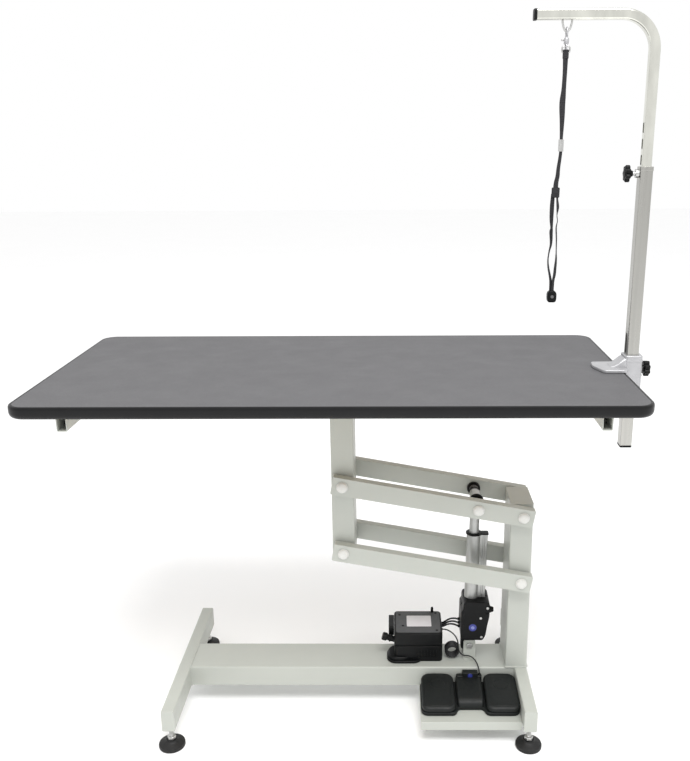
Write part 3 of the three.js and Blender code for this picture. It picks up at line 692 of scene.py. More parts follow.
def add_cross_shaft():
    """The shaft that the actuator hangs on, with two black collars, a grey sleeve and a ring."""
    node = "actuator_cross_shaft"
    body = body_of(node)
    shaft = shaft_with_caps(node, "cross_shaft_caps", EYE_X, EYE_Z)
    make(shaft, "cross_shaft_rod", BRUSHED, body=body)
    collars = {
        "front": [(8.3, -24), (13, -24), (15, -23.4), (16, -22), (16, -19), (15, -17.6), (8.3, -17.4)],
        "rear": [(8.3, 46), (13.4, 46), (14.6, 47), (15, 48.4), (15, 53.4), (14.4, 54.7), (8.3, 54.7)],
    }
    for end, profile in collars.items():
        collar = Shape().lathe("y", profile, EYE_X, EYE_Z)
        make(collar, f"cross_shaft_collar_{end}", BLACK, [f"cross_shaft_bush_{end}"])
    profile = [(8.2, 18.4), (10, 18.4), (10.5, 19), (10.5, 45.2), (10, 45.7), (8.2, 45.7)]
    make(Shape().lathe("y", profile, EYE_X, EYE_Z), "cross_shaft_sleeve", TIP, body=body)
    seal = Shape().tube([(EYE_X + a, 30, EYE_Z + b) for a, b in circle(10.9, 36)], 1.1, 10, closed=True)
    make(seal, "cross_shaft_ring", BLACK, body=body)


add_cross_shaft()

# ---- actuator ----

TILT = math.radians(1.0229)
HANG = Matrix.Translation((EYE_X, 0, EYE_Z)) @ Matrix.Rotation(TILT, 4, "Y")
TUBE_TOP, TUBE_BOTTOM = -90, -262
CASE_TOP, CASE_BOTTOM, CASE_LEFT, CASE_RIGHT, CASE_DEPTH = -248, -346, -24, 41, 33
BADGE_AT = (3.4, -312.5)
LUG_HOLE_Z = -372.11
CLEVIS_X, CLEVIS_Z = 295, 134


def add_rod():
    """The actuator's rod, with an eye round the cross shaft."""
    shape = Shape(HANG).lathe("z", [(0, -200), (11, -200), (11, -12), (9, -5), (0, -5)], 0, 0, 48)
    eye = Shape().lathe("y", [(0, -17), (12, -17), (13, -16), (13, 16), (12, 17), (0, 17)], 0, 0, 48)
    hole = Shape().lathe("y", bar(8.3, -20, 20), 0, 0, 48)
    make(carve(shape, hole, join=[eye]), "actuator_rod_eye", ALLOY, ["actuator_rod"])


def tube_outline():
    """A round tube with a hollow-sided rail along its right side."""
    start = math.asin(8 / 16)
    turns = [start + (2 * math.pi - 2 * start) * k / 36 for k in range(37)]
    outline = [(16 * math.cos(t), 16 * math.sin(t)) for t in turns]
    rail = [(18, -8), (20, -8), (20.8, -6.6), (24.2, -6.6), (25, -8), (30, -8), (31, -7)]
    return outline + rail + [(a, -b) for a, b in reversed(rail)]


def add_tube():
    """The actuator's tube with its rail, and the black cap at its top."""
    shape = Shape(HANG).prism("z", CASE_TOP + 0.3, TUBE_TOP, tube_outline(), 0.4, 2)
    neck = Shape().lathe("z", bar(16, TUBE_BOTTOM, -200), 0, 0, 48)
    bore = Shape().lathe("z", bar(12, -265, -80), 0, 0, 48)
    make(
        carve(shape, bore, join=[neck]), "actuator_outer_tube", ALLOY, ["actuator_tube"],
    )
    collar = Shape(HANG)
    ring = [(11.4, -89.6), (17.6, -89.6), (18.4, -89), (18.4, -86.8), (17.4, -86), (13, -85.6), (11.4, -86)]
    collar.lathe("z", ring, 0, 0, 48)
    tab = rectangle(16, 33, -9, 9, 3)
    collar.prism("z", -89.6, -86.6, tab, 0.6)
    make(collar, "actuator_tube_cap", BLACK, body=body_of("actuator_tube"))


def case_outline(depth):
    """The gearbox casing seen from the front, depth millimetres in from its edge."""
    left, right = CASE_LEFT + depth, CASE_RIGHT - depth
    top, bottom = CASE_TOP - depth, CASE_BOTTOM + depth
    points = [
        (left, bottom + 6), (left + 5, bottom), (right - 13, bottom), (right - 7, bottom + 13),
        (right - 4, -308), (right, -284), (right, top - 6), (right - 3, top), (left + 7, top),
        (left + 4, top - 6), (left + 4, top - 20), (left, top - 24),
    ]
    return fillet(points, 4, 3)


def add_case(side, name, node):
    """One half of the gearbox casing, hollow towards the other half."""
    near, far = sorted((side * 0.2, side * CASE_DEPTH))
    shape = Shape(HANG).prism("y", near, far, case_outline(0), 2.4, 4)
    cavity = Shape().prism("y", *sorted((side * -4, side * (CASE_DEPTH - 3))), case_outline(3))
    neck = Shape().lathe("z", bar(16.3, -262, -240), 0, 0, 40)
    tools = [cavity, neck]
    joined = []
    if side < 0:
        step = Shape().prism("y", -40, -30.6, rectangle(31, 48, -277, -236, 2))
        tools.append(step)
    else:
        lug = Shape()
        bottom = LUG_HOLE_Z - 13.2
        lug.prism("y", -8, 8, rectangle(-20.5, 11.5, bottom, -346.3, 7), 1)
        lug.prism("y", 0.6, 8, rectangle(-20, 11, -352, -341, 0))
        slot = Shape().prism("y", -10, 10, rectangle(-15, 6, LUG_HOLE_Z - 8.2, LUG_HOLE_Z + 8.2, 7))
        joined.append(lug)
        tools.append(slot)
    make(carve(shape, *tools, join=joined), name, BLACK, [node])


def add_case_fittings():
    """Screws, the round badge, the side boot and the seats of three strands on the gearbox casing."""
    body = body_of("gearbox_front_shell")
    screws = Shape(HANG)
    for x, z in ((20.9, -288), (24.7, -337)):
        add_screw(screws, "y", x, z, -CASE_DEPTH + 0.4, 3.1, -1.4)
    add_screw(screws, "y", 36, -263.5, -30.7, 3.1, -1.2)
    for x, z in ((20.9, -288), (24.7, -337), (-14.5, -338), (-13, -268)):
        add_screw(screws, "y", x, z, CASE_DEPTH - 0.4, 3.1, 1.4)
    make(screws, "gearbox_screws", ZINC, body=body)
    disc = [(0, -32.6), (9, -32.6), (9, -33.5), (8.4, -33.9), (0, -33.9)]
    make(Shape(HANG).lathe("y", disc, *BADGE_AT), "gearbox_badge", BADGE, body=body)
    dot = [(0, -33.5), (4, -33.5), (4, -34.1), (3.6, -34.3), (0, -34.3)]
    make(Shape(HANG).lathe("y", dot, *BADGE_AT), "gearbox_badge_dot", BADGE_DOT, body=body)
    boot = Shape(HANG).lathe("x", [
        (0, 38), (9, 38), (9, 42), (8, 43), (8, 45), (7, 45.6), (7, 47.6),
        (6, 48.2), (6, 50.4), (4.6, 52), (0, 52),
    ], -10, -277, 28)
    make(boot, "gearbox_side_boot", BLACK, body=body)
    seats = Shape(HANG)
    for k in range(3):
        x, y, z = -23.4, 12.8 - 5.2 * k, -317.2 - 6.3 * k
        seats.lathe("x", [(0, x - 4.6), (3, x - 4.6), (3.6, x - 4), (3.6, x), (0, x)], y, z, 20)
    make(seats, "gearbox_strand_seats", BLACK, body=body)


add_rod()
add_tube()
add_case(-1, "gearbox_cover_front", "gearbox_front_shell")
add_case(1, "gearbox_cover_rear", "gearbox_rear_shell")
add_case_fittings()


def add_clevis_pin():
    """The pin through the actuator's foot, with a head and a grooved end."""
    shape = Shape()
    profile = [
        (0, -17.6), (6, -17.6), (7, -16.8), (7, -14.4), (5, -14),
        (5, 14.6), (4.2, 14.6), (4.2, 15.6), (5, 15.6),
        (5, 16.6), (4.4, 17), (0, 17),
    ]
    shape.lathe("y", profile, CLEVIS_X, CLEVIS_Z, 32)
    make(shape, "clevis_pin_turned", ZINC, ["clevis_pin"])


add_clevis_pin()

# ---- control box ----

BOX_X, BOX_Y = (118, 231), (-27, 75)
BOX_BOTTOM, BOX_SPLIT, BOX_TOP = 100.3, 140, 174
LID_SCREWS = ((131, 55), (138.8, 6.7), (218, 63), (218, -13))
LID_RECESSES = ((125.6, 50.6), (138.8, 6.7), (224.6, 66.3), (224, -17.9))


def add_control_box():
    """The box's vented base with its round foot, the lid, the top plate, the blank label and the glands."""
    outline = rectangle(*BOX_X, *BOX_Y, 9, 5)
    base = Shape().prism("z", BOX_BOTTOM, BOX_SPLIT, outline, 1.2)
    foot = Shape().prism("z", BOX_BOTTOM, 107, rectangle(101, 184, -37, 24, 22, 8), 2, 4)
    step = Shape().prism("z", 103, 114.3, rectangle(104, 158, -33, 22, 20, 8), 4, 5)
    vents = [
        Shape().prism("y", -30, -25.4, rectangle(x, x + 3, 112, 132, 1.4)) for x in range(172, 221, 7)
    ]
    make(carve(base, *vents, join=[foot, step]), "control_box_tray", BLACK, ["control_box_base"])
    lid = Shape().prism("z", BOX_SPLIT + 0.5, BOX_TOP, outline, 3.2, 5)
    recess = bar(2.8, BOX_TOP - 5, BOX_TOP + 3)
    recesses = [Shape().lathe("z", recess, x, y, 20) for x, y in LID_RECESSES]
    make(carve(lid, *recesses), "control_box_cover", BLACK, ["control_box_lid"])
    body = body_of("control_box_base")
    plate = Shape().prism("z", BOX_TOP - 0.8, BOX_TOP + 0.7, rectangle(122.5, 226.5, -22.5, 70.5, 6, 4), 0.6)
    hole = bar(3.4, BOX_TOP - 0.1, BOX_TOP + 2)
    holes = [Shape().lathe("z", hole, x, y, 20) for x, y in LID_SCREWS]
    make(carve(plate, *holes), "control_box_top_plate", GREY, body=body)
    screws = Shape()
    for x, y in LID_SCREWS:
        add_screw(screws, "z", x, y, BOX_TOP - 0.2, 2.6, 0.8)
    make(screws, "control_box_screws", BLACK, body=body)
    label = Shape().prism("z", BOX_TOP + 0.5, BOX_TOP + 1, rectangle(148, 206, 3, 50.6, 2), 0.2, 1)
    make(label, "control_box_label", LABEL, body=body)
    glands = Shape()
    for k in range(3):
        glands.lathe("x", [(2.2, 228), (4, 228), (4, 231.6), (3.3, 232), (2.2, 232)], 40 - 8 * k, 162, 20)
    glands.lathe("x", [(1.6, 229), (3.2, 229), (3.2, 231.8), (2.6, 232.2), (1.6, 232.2)], 2.2, 168, 20)
    nub = [(0, 172), (3.2, 172), (3.2, 185), (2.4, 187.6), (0, 188.4)]
    glands.lathe("z", nub, 210, 68, 20)
    make(glands, "control_box_glands", BLACK, body=body)


def add_power_inlet():
    """A recessed inlet with three blades."""
    shape = Shape().prism("x", 105, 117.7, rectangle(5, 62, 148, 172, 4), 1.2)
    socket = Shape().prism("x", 100, 113, rectangle(22, 46, 152, 168, 3))
    make(carve(shape, socket), "power_inlet_block", BLACK, ["power_inlet"])
    body = body_of("power_inlet")
    blades = Shape()
    for y, z in ((27, 158), (41, 158), (34, 163)):
        blades.prism("x", 107, 113.4, rectangle(y - 0.9, y + 0.9, z - 2.2, z + 2.2, 0.4), 0.3, 1)
    make(blades, "power_inlet_blades", ZINC, body=body)


def add_side_stub():
    """A round stub with a narrow collar that leans out of the box's left side."""
    lean = Matrix.Translation((120, -6, 146)) @ Matrix.Rotation(math.radians(-72), 4, "Y")
    shape = Shape(lean).lathe("z", [
        (0, -4), (7, -4), (7, 9), (8.6, 10), (8.6, 13), (6.8, 14), (6.8, 19),
        (9.4, 21), (9.4, 29), (8.2, 31), (0, 31.6),
    ], 0, 0, 32)
    make(shape, "control_box_side_stub", BLACK, body=body_of("control_box_base"))


add_control_box()
add_power_inlet()
add_side_stub()

# ---- foot switch ----

TRAY_TOP = 56
PEDAL_FRONT, PEDAL_REAR, PEDAL_BOTTOM = -171, -54, 67
PEDAL_WIDTH = 74


def add_switch_body():
    """The foot switch's housing between and under the pedals, with a badge and the cable's gland."""
    plate = Shape()
    lobes = [
        (177, -169.5), (254, -169.5), (259, -153), (266, -147), (310, -147), (317, -153), (322, -169.5),
        (396.4, -169.5), (396.4, -54), (177, -54),
    ]
    radii = [16, 10, 6, 5, 5, 6, 10, 16, 14, 14]
    plate.prism("z", TRAY_TOP + 0.3, 65, fillet(lobes, radii, 5), 2.4, 4)
    bridge = Shape()
    ridge = [(-149, 58), (-58, 58), (-58, 84), (-70, 85), (-120, 83), (-140, 78), (-149, 70)]
    bridge.prism("x", 259, 317, fillet(ridge, [1, 1, 5, 10, 14, 10, 6], 5), 5, 5)
    neck = Shape().prism("y", -66, -51, rectangle(275, 311, 60, 95, 3), 1.4)
    shoulder = Shape().prism("z", 60, 87, rectangle(260.5, 320, -66, -53, 5), 3, 4)
    window = Shape().prism("z", 84.2, 90, rectangle(276, 301, -112, -88, 3))
    whole = carve(plate, window, join=[bridge, neck, shoulder])
    make(whole, "foot_switch_housing", PEDAL, ["foot_switch_body"])
    body = body_of("foot_switch_body")
    disc = [(0, -65.4), (5.6, -65.4), (5.6, -66.4), (5.2, -66.8), (0, -66.8)]
    make(Shape().lathe("y", disc, 293, 88, 28), "foot_switch_badge", BADGE, body=body)
    gland = [(1.6, 84), (4, 84), (4, 86.2), (3.2, 86.6), (3, 89), (2.2, 89.6), (1.6, 89.6)]
    make(Shape().lathe("z", gland, 315, -58, 20), "foot_switch_gland", BLACK, body=body)


def pedal_top(x, y, middle):
    """Height of a pedal's crowned tread."""
    share = (y - PEDAL_FRONT) / (PEDAL_REAR - PEDAL_FRONT)
    nose = 74.4 + 3.2 * min(1, share / 0.08)
    across = (x - middle) / (PEDAL_WIDTH / 2)
    return nose + 9.2 * share + 1.6 * (1 - across * across)


def add_pedal(node, name, x0, ring):
    """A pedal's crowned tread from x0 on, with a raised ring on it if asked for."""
    middle = x0 + PEDAL_WIDTH / 2
    dense = refine(rectangle(x0, x0 + PEDAL_WIDTH, PEDAL_FRONT, PEDAL_REAR, 17, 7), 6)
    centre = (middle, (PEDAL_FRONT + PEDAL_REAR) / 2)

    def shrink(depth):
        """Moves the outline towards the pedal's middle, by depth at its sides."""
        wide = 1 - depth / (PEDAL_WIDTH / 2)
        long = 1 - depth / ((PEDAL_REAR - PEDAL_FRONT) / 2)
        return [(centre[0] + (x - centre[0]) * wide, centre[1] + (y - centre[1]) * long) for x, y in dense]

    shape = Shape()
    loops = [
        [(x, y, PEDAL_BOTTOM) for x, y in shrink(1.2)],
        [(x, y, PEDAL_BOTTOM + 1) for x, y in shrink(0.2)],
    ]
    for depth, drop in ((0, 4.2), (0.5, 2.4), (1.6, 1), (3.4, 0.2), (5.6, 0)):
        loops.append([(x, y, pedal_top(x, y, middle) - drop) for x, y in shrink(depth)])
    for depth, drop in ((6.6, 0.5), (7.6, 0.5), (8.6, 0), (16, 0), (24, 0), (31, 0)):
        loops.append([(x, y, pedal_top(x, y, middle) - drop) for x, y in shrink(depth)])
    loops.append([(centre[0], centre[1], pedal_top(*centre, middle))])
    shape.skin(loops)
    make(shape, name, PEDAL, [node])
    if ring:
        mark = Shape()
        rim = [(middle + a, -93 + b) for a, b in circle(16, 48)]
        mark.tube([(x, y, pedal_top(x, y, middle) - 0.1) for x, y in rim], 0.7, 8, closed=True)
        make(mark, f"{name}_ring", PEDAL, body=body_of(node))


add_switch_body()
add_pedal("down_pedal", "down_pedal_tread", 179.5, True)
add_pedal("up_pedal", "up_pedal_tread", 322.6, True)

# ---- levelling feet ----


def add_foot(node, x, y):
    """A levelling foot: a rubber pad, and a threaded stem with two nuts."""
    pad = Shape()
    profile = [
        (0, 0), (26, 0), (27.8, 0.7), (28.5, 2.2), (28.5, 7.4),
        (27.8, 9), (25, 10.2), (21, 11.6), (16, 13.6),
        (13, 15.6), (12, 18), (0, 18),
    ]
    pad.lathe("z", profile, x, y, 56)
    make(pad, f"{node}_pad", FOOT, [node])
    stem = Shape()
    thread = [(0, 17), (4.4, 17)]
    for k in range(22):
        thread += [(5, 18 + 1.5 * k), (4.3, 18.75 + 1.5 * k)]
    stem.lathe("z", [*thread, (4.3, 70), (0, 70)], x, y, 24)
    add_nut(stem, "z", x, y, 19, 26, 9.5)
    add_nut(stem, "z", x, y, 43.6, 49.8, 9.5)
    make(stem, f"{node}_stem", ZINC, body=body_of(node))


for foot_side, foot_x in (("left", -371), ("right", 411)):
    for foot_end, foot_y in (("front", -195), ("rear", 195)):
        add_foot(f"levelling_foot_{foot_side}_{foot_end}", foot_x, foot_y)

# ---- weld beads ----


def add_bead(name, body, points, radius):
    """A weld bead along a closed line, with a slight ripple."""
    shape = Shape().tube(refine(points, 3), radius, 8, closed=True)
    for k, vert in enumerate(shape.mesh.verts):
        vert.co.z += 0.25 * math.sin(k // 8 * 1.3)
    make(shape, name, WHITE, body=body, sharp=80)


def square(x0, x1, y0, y1, z):
    return [(x, y, z) for x, y in rectangle(x0, x1, y0, y1, 4)]


add_bead("base_column_weld", body_of("base_column"), square(374.4, 425.6, -50.4, 50.4, 101), 1.9)
table_body = body_of("table_column")
add_bead("table_column_weld", table_body, square(-19, 32.1, -50.4, 50.4, 780.2), 1.9)
for beam_side, beam_x in (("left", -357), ("right", 397)):
    seam = [(beam_x, y, z) for y, z in rectangle(-50.4, 50.4, 49.8, 100.3, 4)]
    add_bead(f"beam_weld_{beam_side}", body_of("base_beam"), seam, 1.6)

# ---- clamp ----

POLE_X, POLE_Y = 618, -27
SCREW_X = 565


def block(x, y, z, radius):
    """A round-cornered upright section across X, for skins that run along X."""
    return [(x, a, b) for a, b in rectangle(*y, *z, radius, 3)]


def add_clamp():
    """The clamp's casting: a sleeve round the pole, an upper jaw with a gusset, and a lower arm."""
    body = Shape().prism("z", 722, 842, rectangle(600.6, 638, -47, -7, 6), 2, 4)
    jaw = Shape()
    plan = [
        (538, -26), (553, -71), (598, -72), (605, -64), (605, -2), (597, 5), (541, 4),
    ]
    jaw.prism("z", 811.3, 818, fillet(plan, 6, 5), 1.8, 4)
    gusset = Shape().skin([
        block(572, (-44, -12), (812, 818.4), 2), block(580, (-46, -10), (812, 821.4), 3),
        block(588, (-47, -8), (812, 827), 5), block(596, (-47, -7), (812, 834), 6),
        block(606, (-46, -8), (812, 840), 7),
    ])
    arm = Shape()
    web = [(548, 722), (606, 722), (606, 800), (600, 776), (592, 752), (584, 741), (572, 737), (548, 736)]
    arm.prism("y", -41, -13, fillet(web, [6, 1, 1, 8, 10, 8, 5, 6], 4), 2.4, 4)
    bands = Shape()
    for z in (797, 829):
        bands.prism("z", z, z + 4.5, rectangle(599.8, 638.8, -47.8, -6.2, 6), 1, 2)
    boss = Shape().lathe("x", [(0, 630), (9, 630), (9, 640.4), (8, 641.4), (0, 641.4)], POLE_Y, TOP_Z, 32)
    hole = Shape().prism("z", 715, 850, rectangle(605.2, 630.8, -39.8, -14.2, 1))
    screw_hole = Shape().lathe("z", bar(6.4, 715, 745), SCREW_X, POLE_Y, 32)
    stud_hole = Shape().lathe("x", bar(4.4, 620, 650), POLE_Y, TOP_Z, 24)
    whole = carve(body, hole, screw_hole, stud_hole, join=[jaw, gusset, arm, bands, boss])
    make(whole, "clamp_casting", CAST, ["clamp_body"])


def add_clamp_screw():
    """The clamp's screw with its cross bar, and the pad on its tip."""
    shape = Shape()
    thread = [(0, 700), (5.2, 700)]
    for k in range(44):
        thread += [(6, 704 + 1.75 * k), (5.2, 704.9 + 1.75 * k)]
    shape.lathe("z", [*thread, (4.4, 781.2), (0, 781.2)], SCREW_X, POLE_Y, 28)
    shape.lathe("z", [(0, 690), (8, 690), (9, 691), (9, 703), (8, 704), (0, 704)], SCREW_X, POLE_Y, 32)
    bar = [(0, -62), (2.6, -62), (4, -60.4), (4, 6.4), (2.6, 8), (0, 8)]
    shape.lathe("y", bar, SCREW_X, 697, 24)
    make(shape, "clamp_screw_threaded", ZINC, ["clamp_screw"])
    pad = Shape()
    profile = [(0, 781.7), (13, 781.7), (15.4, 782.6), (16, 784), (16, 786), (15.4, 786.7), (0, 786.7)]
    pad.lathe("z", profile, SCREW_X, POLE_Y, 40)
    make(pad, "clamp_swivel_pad", FOOT, ["clamp_pad"])


def star(radius, core, lobes):
    """A knob's outline with round lobes."""
    outline = []
    for k in range(lobes * 12):
        turn = 2 * math.pi * k / (lobes * 12)
        wave = (1 + math.cos(lobes * turn)) / 2
        reach = core + (radius - core) * wave ** 0.6
        outline.append((reach * math.cos(turn), reach * math.sin(turn)))
    return outline


def add_knob(node, name, face, out, thickness, stud_end, z):
    """A star knob on a stud. face is its inner face and out is the side it points to."""
    shape = Shape()
    outline = [(POLE_Y + a, z + b) for a, b in star(17, 12.4, 7)]
    near, far = sorted((face, face + out * thickness))
    shape.prism("x", near, far, outline, 2.6, 4)
    cap = face + out * thickness
    button = [(0, -1), (9, -1), (9, 0.6), (8, 1.2), (0, 1.6)]
    shape.lathe("x", [(radius, cap + out * high) for radius, high in button], POLE_Y, z, 32)
    hub = [(0, 1), (7.4, 1), (7, -2), (5.4, -6), (0, -6)]
    shape.lathe("x", [(radius, face + out * high) for radius, high in hub], POLE_Y, z, 32)
    make(shape, name, BLACK, [node])
    stud = Shape().lathe("x", bar(4, face, stud_end), POLE_Y, z, 20)
    make(stud, f"{name}_stud", ZINC, body=body_of(node))


add_clamp()
add_clamp_screw()
add_knob("clamp_star_knob", "clamp_knob_star", 645, 1, 12, 630.8, TOP_Z)
add_knob("arm_star_knob", "arm_knob_star", 587, -1, 10, 607.6, 1210)

# ---- grooming arm ----

CROOK_FOOT, CROOK_Z, CROOK_TIP, CROOK_RADIUS = 972, 1503, 386, 65


def crook_frames():
    """Places along the crook's centre line, each with the direction that points out of the bend."""
    frames_along = [((POLE_X, CROOK_FOOT), (1, 0))]
    middle = (POLE_X - CROOK_RADIUS, CROOK_Z - CROOK_RADIUS)
    for k in range(19):
        turn = math.pi / 2 * k / 18
        out = (math.cos(turn), math.sin(turn))
        frames_along.append(((middle[0] + CROOK_RADIUS * out[0], middle[1] + CROOK_RADIUS * out[1]), out))
    frames_along.append(((CROOK_TIP, CROOK_Z), (0, 1)))
    return frames_along


def crook_loops(half, radius):
    """Square sections with round corners, half millimetres from the centre line."""
    section = rectangle(-half, half, -half, half, radius, 5)
    loops = []
    for (x, z), (out_x, out_z) in crook_frames():
        loops.append([(x + out_x * a, POLE_Y + b, z + out_z * a) for a, b in section])
    return loops


def add_crook():
    """The slotted square crook, with the wire loop that the tether hangs on and a cap in its tip."""
    tube = Shape().skin(crook_loops(10, 4) + crook_loops(8.5, 2.6)[::-1], closed=True)
    slots = [
        Shape().prism("x", 604, 611, rectangle(POLE_Y - 4, POLE_Y + 4, z, z + 20, 4, 6))
        for z in (1226, 1256.5, 1287)
    ]
    make(carve(tube, *slots), "grooming_arm_tube", CHROME, ["grooming_arm"])
    body = body_of("grooming_arm")
    wire = Shape().tube(smooth_path([
        (440, POLE_Y, 1494.5), (440.4, POLE_Y, 1488), (443.6, POLE_Y, 1477.4), (449, POLE_Y, 1473),
        (454.4, POLE_Y, 1477.4), (457.6, POLE_Y, 1488), (458, POLE_Y, 1494.5),
    ], 6), 2, 14)
    make(wire, "grooming_arm_wire_loop", ZINC, body=body)
    tip = Shape().prism("x", 384.6, 391, rectangle(POLE_Y - 10.3, POLE_Y + 10.3, 1492.7, 1513.3, 4, 4), 1.4)
    make(tip, "grooming_arm_tip_cap", BLACK, body=body)


def add_pole_fittings():
    """The lower pole's foot cap, the boss of its knob and the collar at its top."""
    body = body_of("lower_pole")
    cap = Shape().prism("z", 637, 642.6, rectangle(605.2, 630.8, -39.8, -14.2, 3, 4), 1.2)
    make(cap, "lower_pole_foot_cap", BLACK, body=body)
    nut = [(4.4, 598.6), (8.6, 598.6), (8.6, 604.6), (7.8, 605.4), (4.4, 605.4)]
    make(Shape().lathe("x", nut, POLE_Y, 1210, 32), "lower_pole_knob_boss", ZINC, body=body)
    collar = Shape()
    sleeve = rectangle(604.7, 631.3, -40.3, -13.7, 3, 4)
    collar.hollow("z", 1215, 1223.5, sleeve, rectangle(607.8, 628.2, -37.2, -16.8, 3, 4), 1)
    make(collar, "lower_pole_top_collar", BRUSHED, body=body)


add_crook()
add_pole_fittings()

# ---- tether ----

TETHER_X = 449


def add_snap_hook():
    """A swivelling hook with its bow, neck and eye, and the trigger's button."""
    shape = Shape()
    bow = []
    for k in range(40):
        turn = 2 * math.pi * k / 40
        bow.append((TETHER_X, POLE_Y + 6.3 * math.cos(turn), 1472.6 + 7.2 * math.sin(turn)))
    shape.tube(bow, 1.75, 12, closed=True)
    neck = [
        (0, 1449.6), (3.4, 1449.6), (4, 1450.6), (5, 1451.6), (5, 1453),
        (4.3, 1453.6), (5, 1454.2), (5, 1459.6),
        (4.2, 1461), (2.9, 1462.6), (2.9, 1466.4), (0, 1466.4),
    ]
    shape.lathe("z", neck, TETHER_X, POLE_Y, 28)
    eye = [(TETHER_X, POLE_Y + a, 1446 + b) for a, b in circle(5.4, 28)]
    shape.tube(eye, 1.6, 10, closed=True)
    make(shape, "snap_hook_cast", CAST, ["snap_hook"])
    trigger = Shape().prism("x", 439, 443.7, rectangle(POLE_Y - 2, POLE_Y + 2, 1456, 1460.5, 1.2), 0.8)
    make(trigger, "snap_trigger_button", ZINC, ["snap_trigger"])


def ribbon(marks, width, thickness):
    """A webbing strip down a list of (z, x, seen width), turned at each so that it looks that wide."""
    section = rectangle(-width / 2, width / 2, -thickness / 2, thickness / 2, thickness * 0.45, 3)
    places = []
    for z, x, seen in marks:
        places.append((x, math.acos(max(0.05, min(1, seen / width))), z))
    loops = []
    for x, turn, z in smooth_path(places, 5):
        cos_t, sin_t = math.cos(turn), math.sin(turn)
        loops.append([(x + a * cos_t - b * sin_t, POLE_Y + a * sin_t + b * cos_t, z) for a, b in section])
    return loops


def add_strap():
    """The twisted webbing with its two legs, and the ring that it hangs on."""
    band = Shape().skin(ribbon([
        (1436, 448.8, 11), (1403, 449.2, 9.4), (1368, 448.6, 9.6), (1343, 447.3, 11.6), (1312, 448.3, 10),
        (1279, 448.6, 7), (1251, 448.7, 7), (1222, 445.8, 8),
        (1206, 444.9, 9), (1192, 442.6, 10), (1170, 442, 11),
    ], 11.5, 1.8))
    folded = rectangle(TETHER_X - 5.8, TETHER_X + 5.8, POLE_Y - 2.4, POLE_Y + 2.4, 2)
    fold = Shape().prism("z", 1424, 1441, folded, 1.6)
    yoke = Shape().prism("z", 1164, 1184, rectangle(434.5, 450.5, POLE_Y - 3, POLE_Y + 3, 2.4), 2)
    left = Shape().skin(ribbon([
        (1172, 437.6, 8), (1145, 436.8, 9), (1121, 436.9, 8),
        (1105, 438, 5.5), (1097, 437.4, 7.5), (1073, 438.4, 5.5),
        (1057, 435.5, 3.5), (1041, 433.8, 3), (1025, 435.2, 4),
        (1009, 438.8, 5), (994, 441.4, 6), (962, 442, 7),
    ], 9.5, 1.6))
    right = Shape().skin(ribbon([
        (1172, 446.4, 6), (1161, 446.6, 4.5), (1145, 448.5, 6), (1129, 447.7, 1.7), (1118, 449.1, 2),
        (1105, 447.3, 3), (1082, 448.9, 3), (1057, 449.7, 2.5), (1041, 450.1, 4.5), (1025, 449.3, 6),
        (1009, 448.4, 6.5), (994, 446.2, 6), (962, 445.4, 7),
    ], 9.5, 1.6))
    whole = carve(band, join=[fold, yoke, left, right])
    make(whole, "tether_webbing", WEBBING, ["tether_strap"], sharp=45)
    body = body_of("tether_strap")
    ring = Shape()
    path = [(x, POLE_Y, z) for x, z in rectangle(441.5, 456.5, 1434.6, 1446.8, 4, 5)]
    ring.tube(path, 1.5, 10, closed=True)
    make(ring, "tether_d_ring", ZINC, body=body)


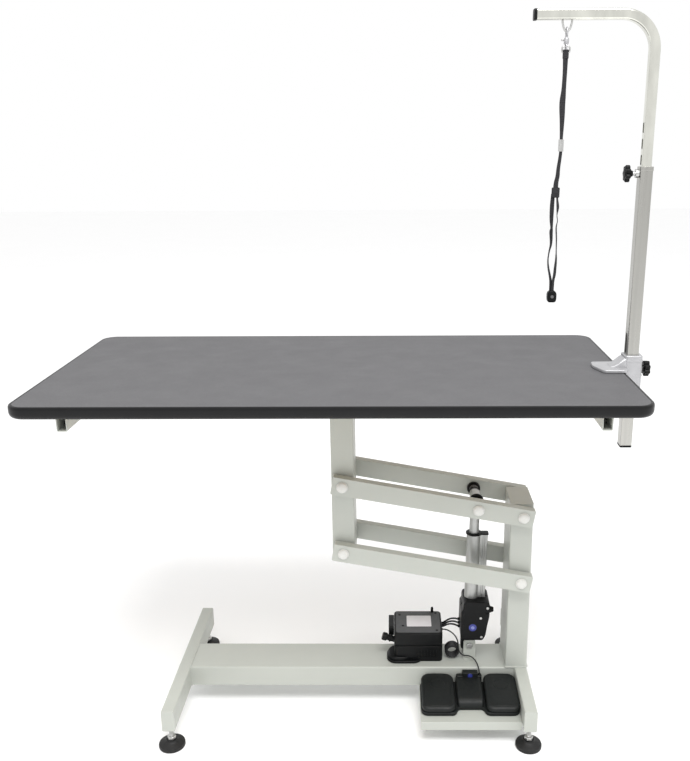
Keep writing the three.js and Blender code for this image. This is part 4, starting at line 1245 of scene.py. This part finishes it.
def add_slides():
    """The sleeve on the webbing, and the lock at the end of its two legs."""
    slider = Shape()
    turn = math.radians(50)
    outer = rectangle(-6.6, 6.6, -2.9, 2.9, 1.6, 3)
    inner = rectangle(-5.9, 5.9, -1.3, 1.3, 0.6, 3)

    def turned(outline):
        cos_t, sin_t = math.cos(turn), math.sin(turn)
        return [(448.6 + a * cos_t - b * sin_t, POLE_Y + a * sin_t + b * cos_t) for a, b in outline]

    slider.hollow("z", 1253, 1276, turned(outer), turned(inner), 0.7)
    make(slider, "tether_slider_sleeve", ZINC, ["tether_slider"])
    rivet = Shape()
    add_screw(rivet, "y", 447.4, 1264, POLE_Y - 5.6, 1.8, -0.9, socket=False)
    make(rivet, "tether_slider_rivet", ZINC, body=body_of("tether_slider"))
    lock = Shape()
    outline = [
        (437, 953), (452, 953), (454, 959), (454, 972), (450, 977), (439, 977), (435, 972), (435, 959),
    ]
    lock.prism("y", POLE_Y - 7, POLE_Y + 7, fillet(outline, 4, 4), 2, 4)
    passage = Shape().prism("z", 950, 980, rectangle(438.4, 450.6, POLE_Y - 5.2, POLE_Y + 5.2, 1))
    make(carve(lock, passage), "tether_lock_body", BLACK, ["tether_lock"])
    profile = [(0, -9), (3, -9), (3.4, -8.4), (3.4, -6), (0, -6)]
    button = Shape().lathe("y", [(radius, POLE_Y + y) for radius, y in profile], 444.5, 965, 24)
    make(button, "tether_lock_button", TIP, body=body_of("tether_lock"))


add_snap_hook()
add_strap()
add_slides()

# ---- stage and light ----

FLOOR_REACH = 15
FLOOR_WHITE = 0.97
KEY_POWER = 150


def add_stage():
    """A pale floor under an even white studio."""
    floor_mesh = bmesh.new()
    for x, y in rectangle(-FLOOR_REACH, FLOOR_REACH, -FLOOR_REACH, FLOOR_REACH):
        floor_mesh.verts.new((x, y, 0))
    floor_mesh.faces.new(floor_mesh.verts[:])
    data = bpy.data.meshes.new("floor")
    floor_mesh.to_mesh(data)
    floor_mesh.free()
    floor = new_object("floor", data)
    paper = Paint("studio_floor", (FLOOR_WHITE, FLOOR_WHITE, FLOOR_WHITE), 0.9, specular=0.1)
    data.materials.append(paper.mottle(400, 0.004).material)
    world = bpy.data.worlds.new("studio")
    world.use_nodes = True
    world.node_tree.nodes["Background"].inputs["Color"].default_value = (1, 1, 1, 1)
    world.node_tree.nodes["Background"].inputs["Strength"].default_value = 1.0
    bpy.context.scene.world = world
    bpy.context.scene.view_settings.view_transform = "Standard"


def add_softbox(name, place, target, size, power):
    light = bpy.data.lights.new(name, "AREA")
    light.shape = "RECTANGLE"
    light.size, light.size_y = size
    light.energy = power
    lamp = new_object(name, light)
    lamp.location = place
    lamp.rotation_mode = "QUATERNION"
    lamp.rotation_quaternion = (Vector(target) - Vector(place)).to_track_quat("-Z", "Y")


add_stage()
add_softbox("key", (0.4, -1.9, 4.0), (0, 0, 0.3), (2.4, 1.8), KEY_POWER)
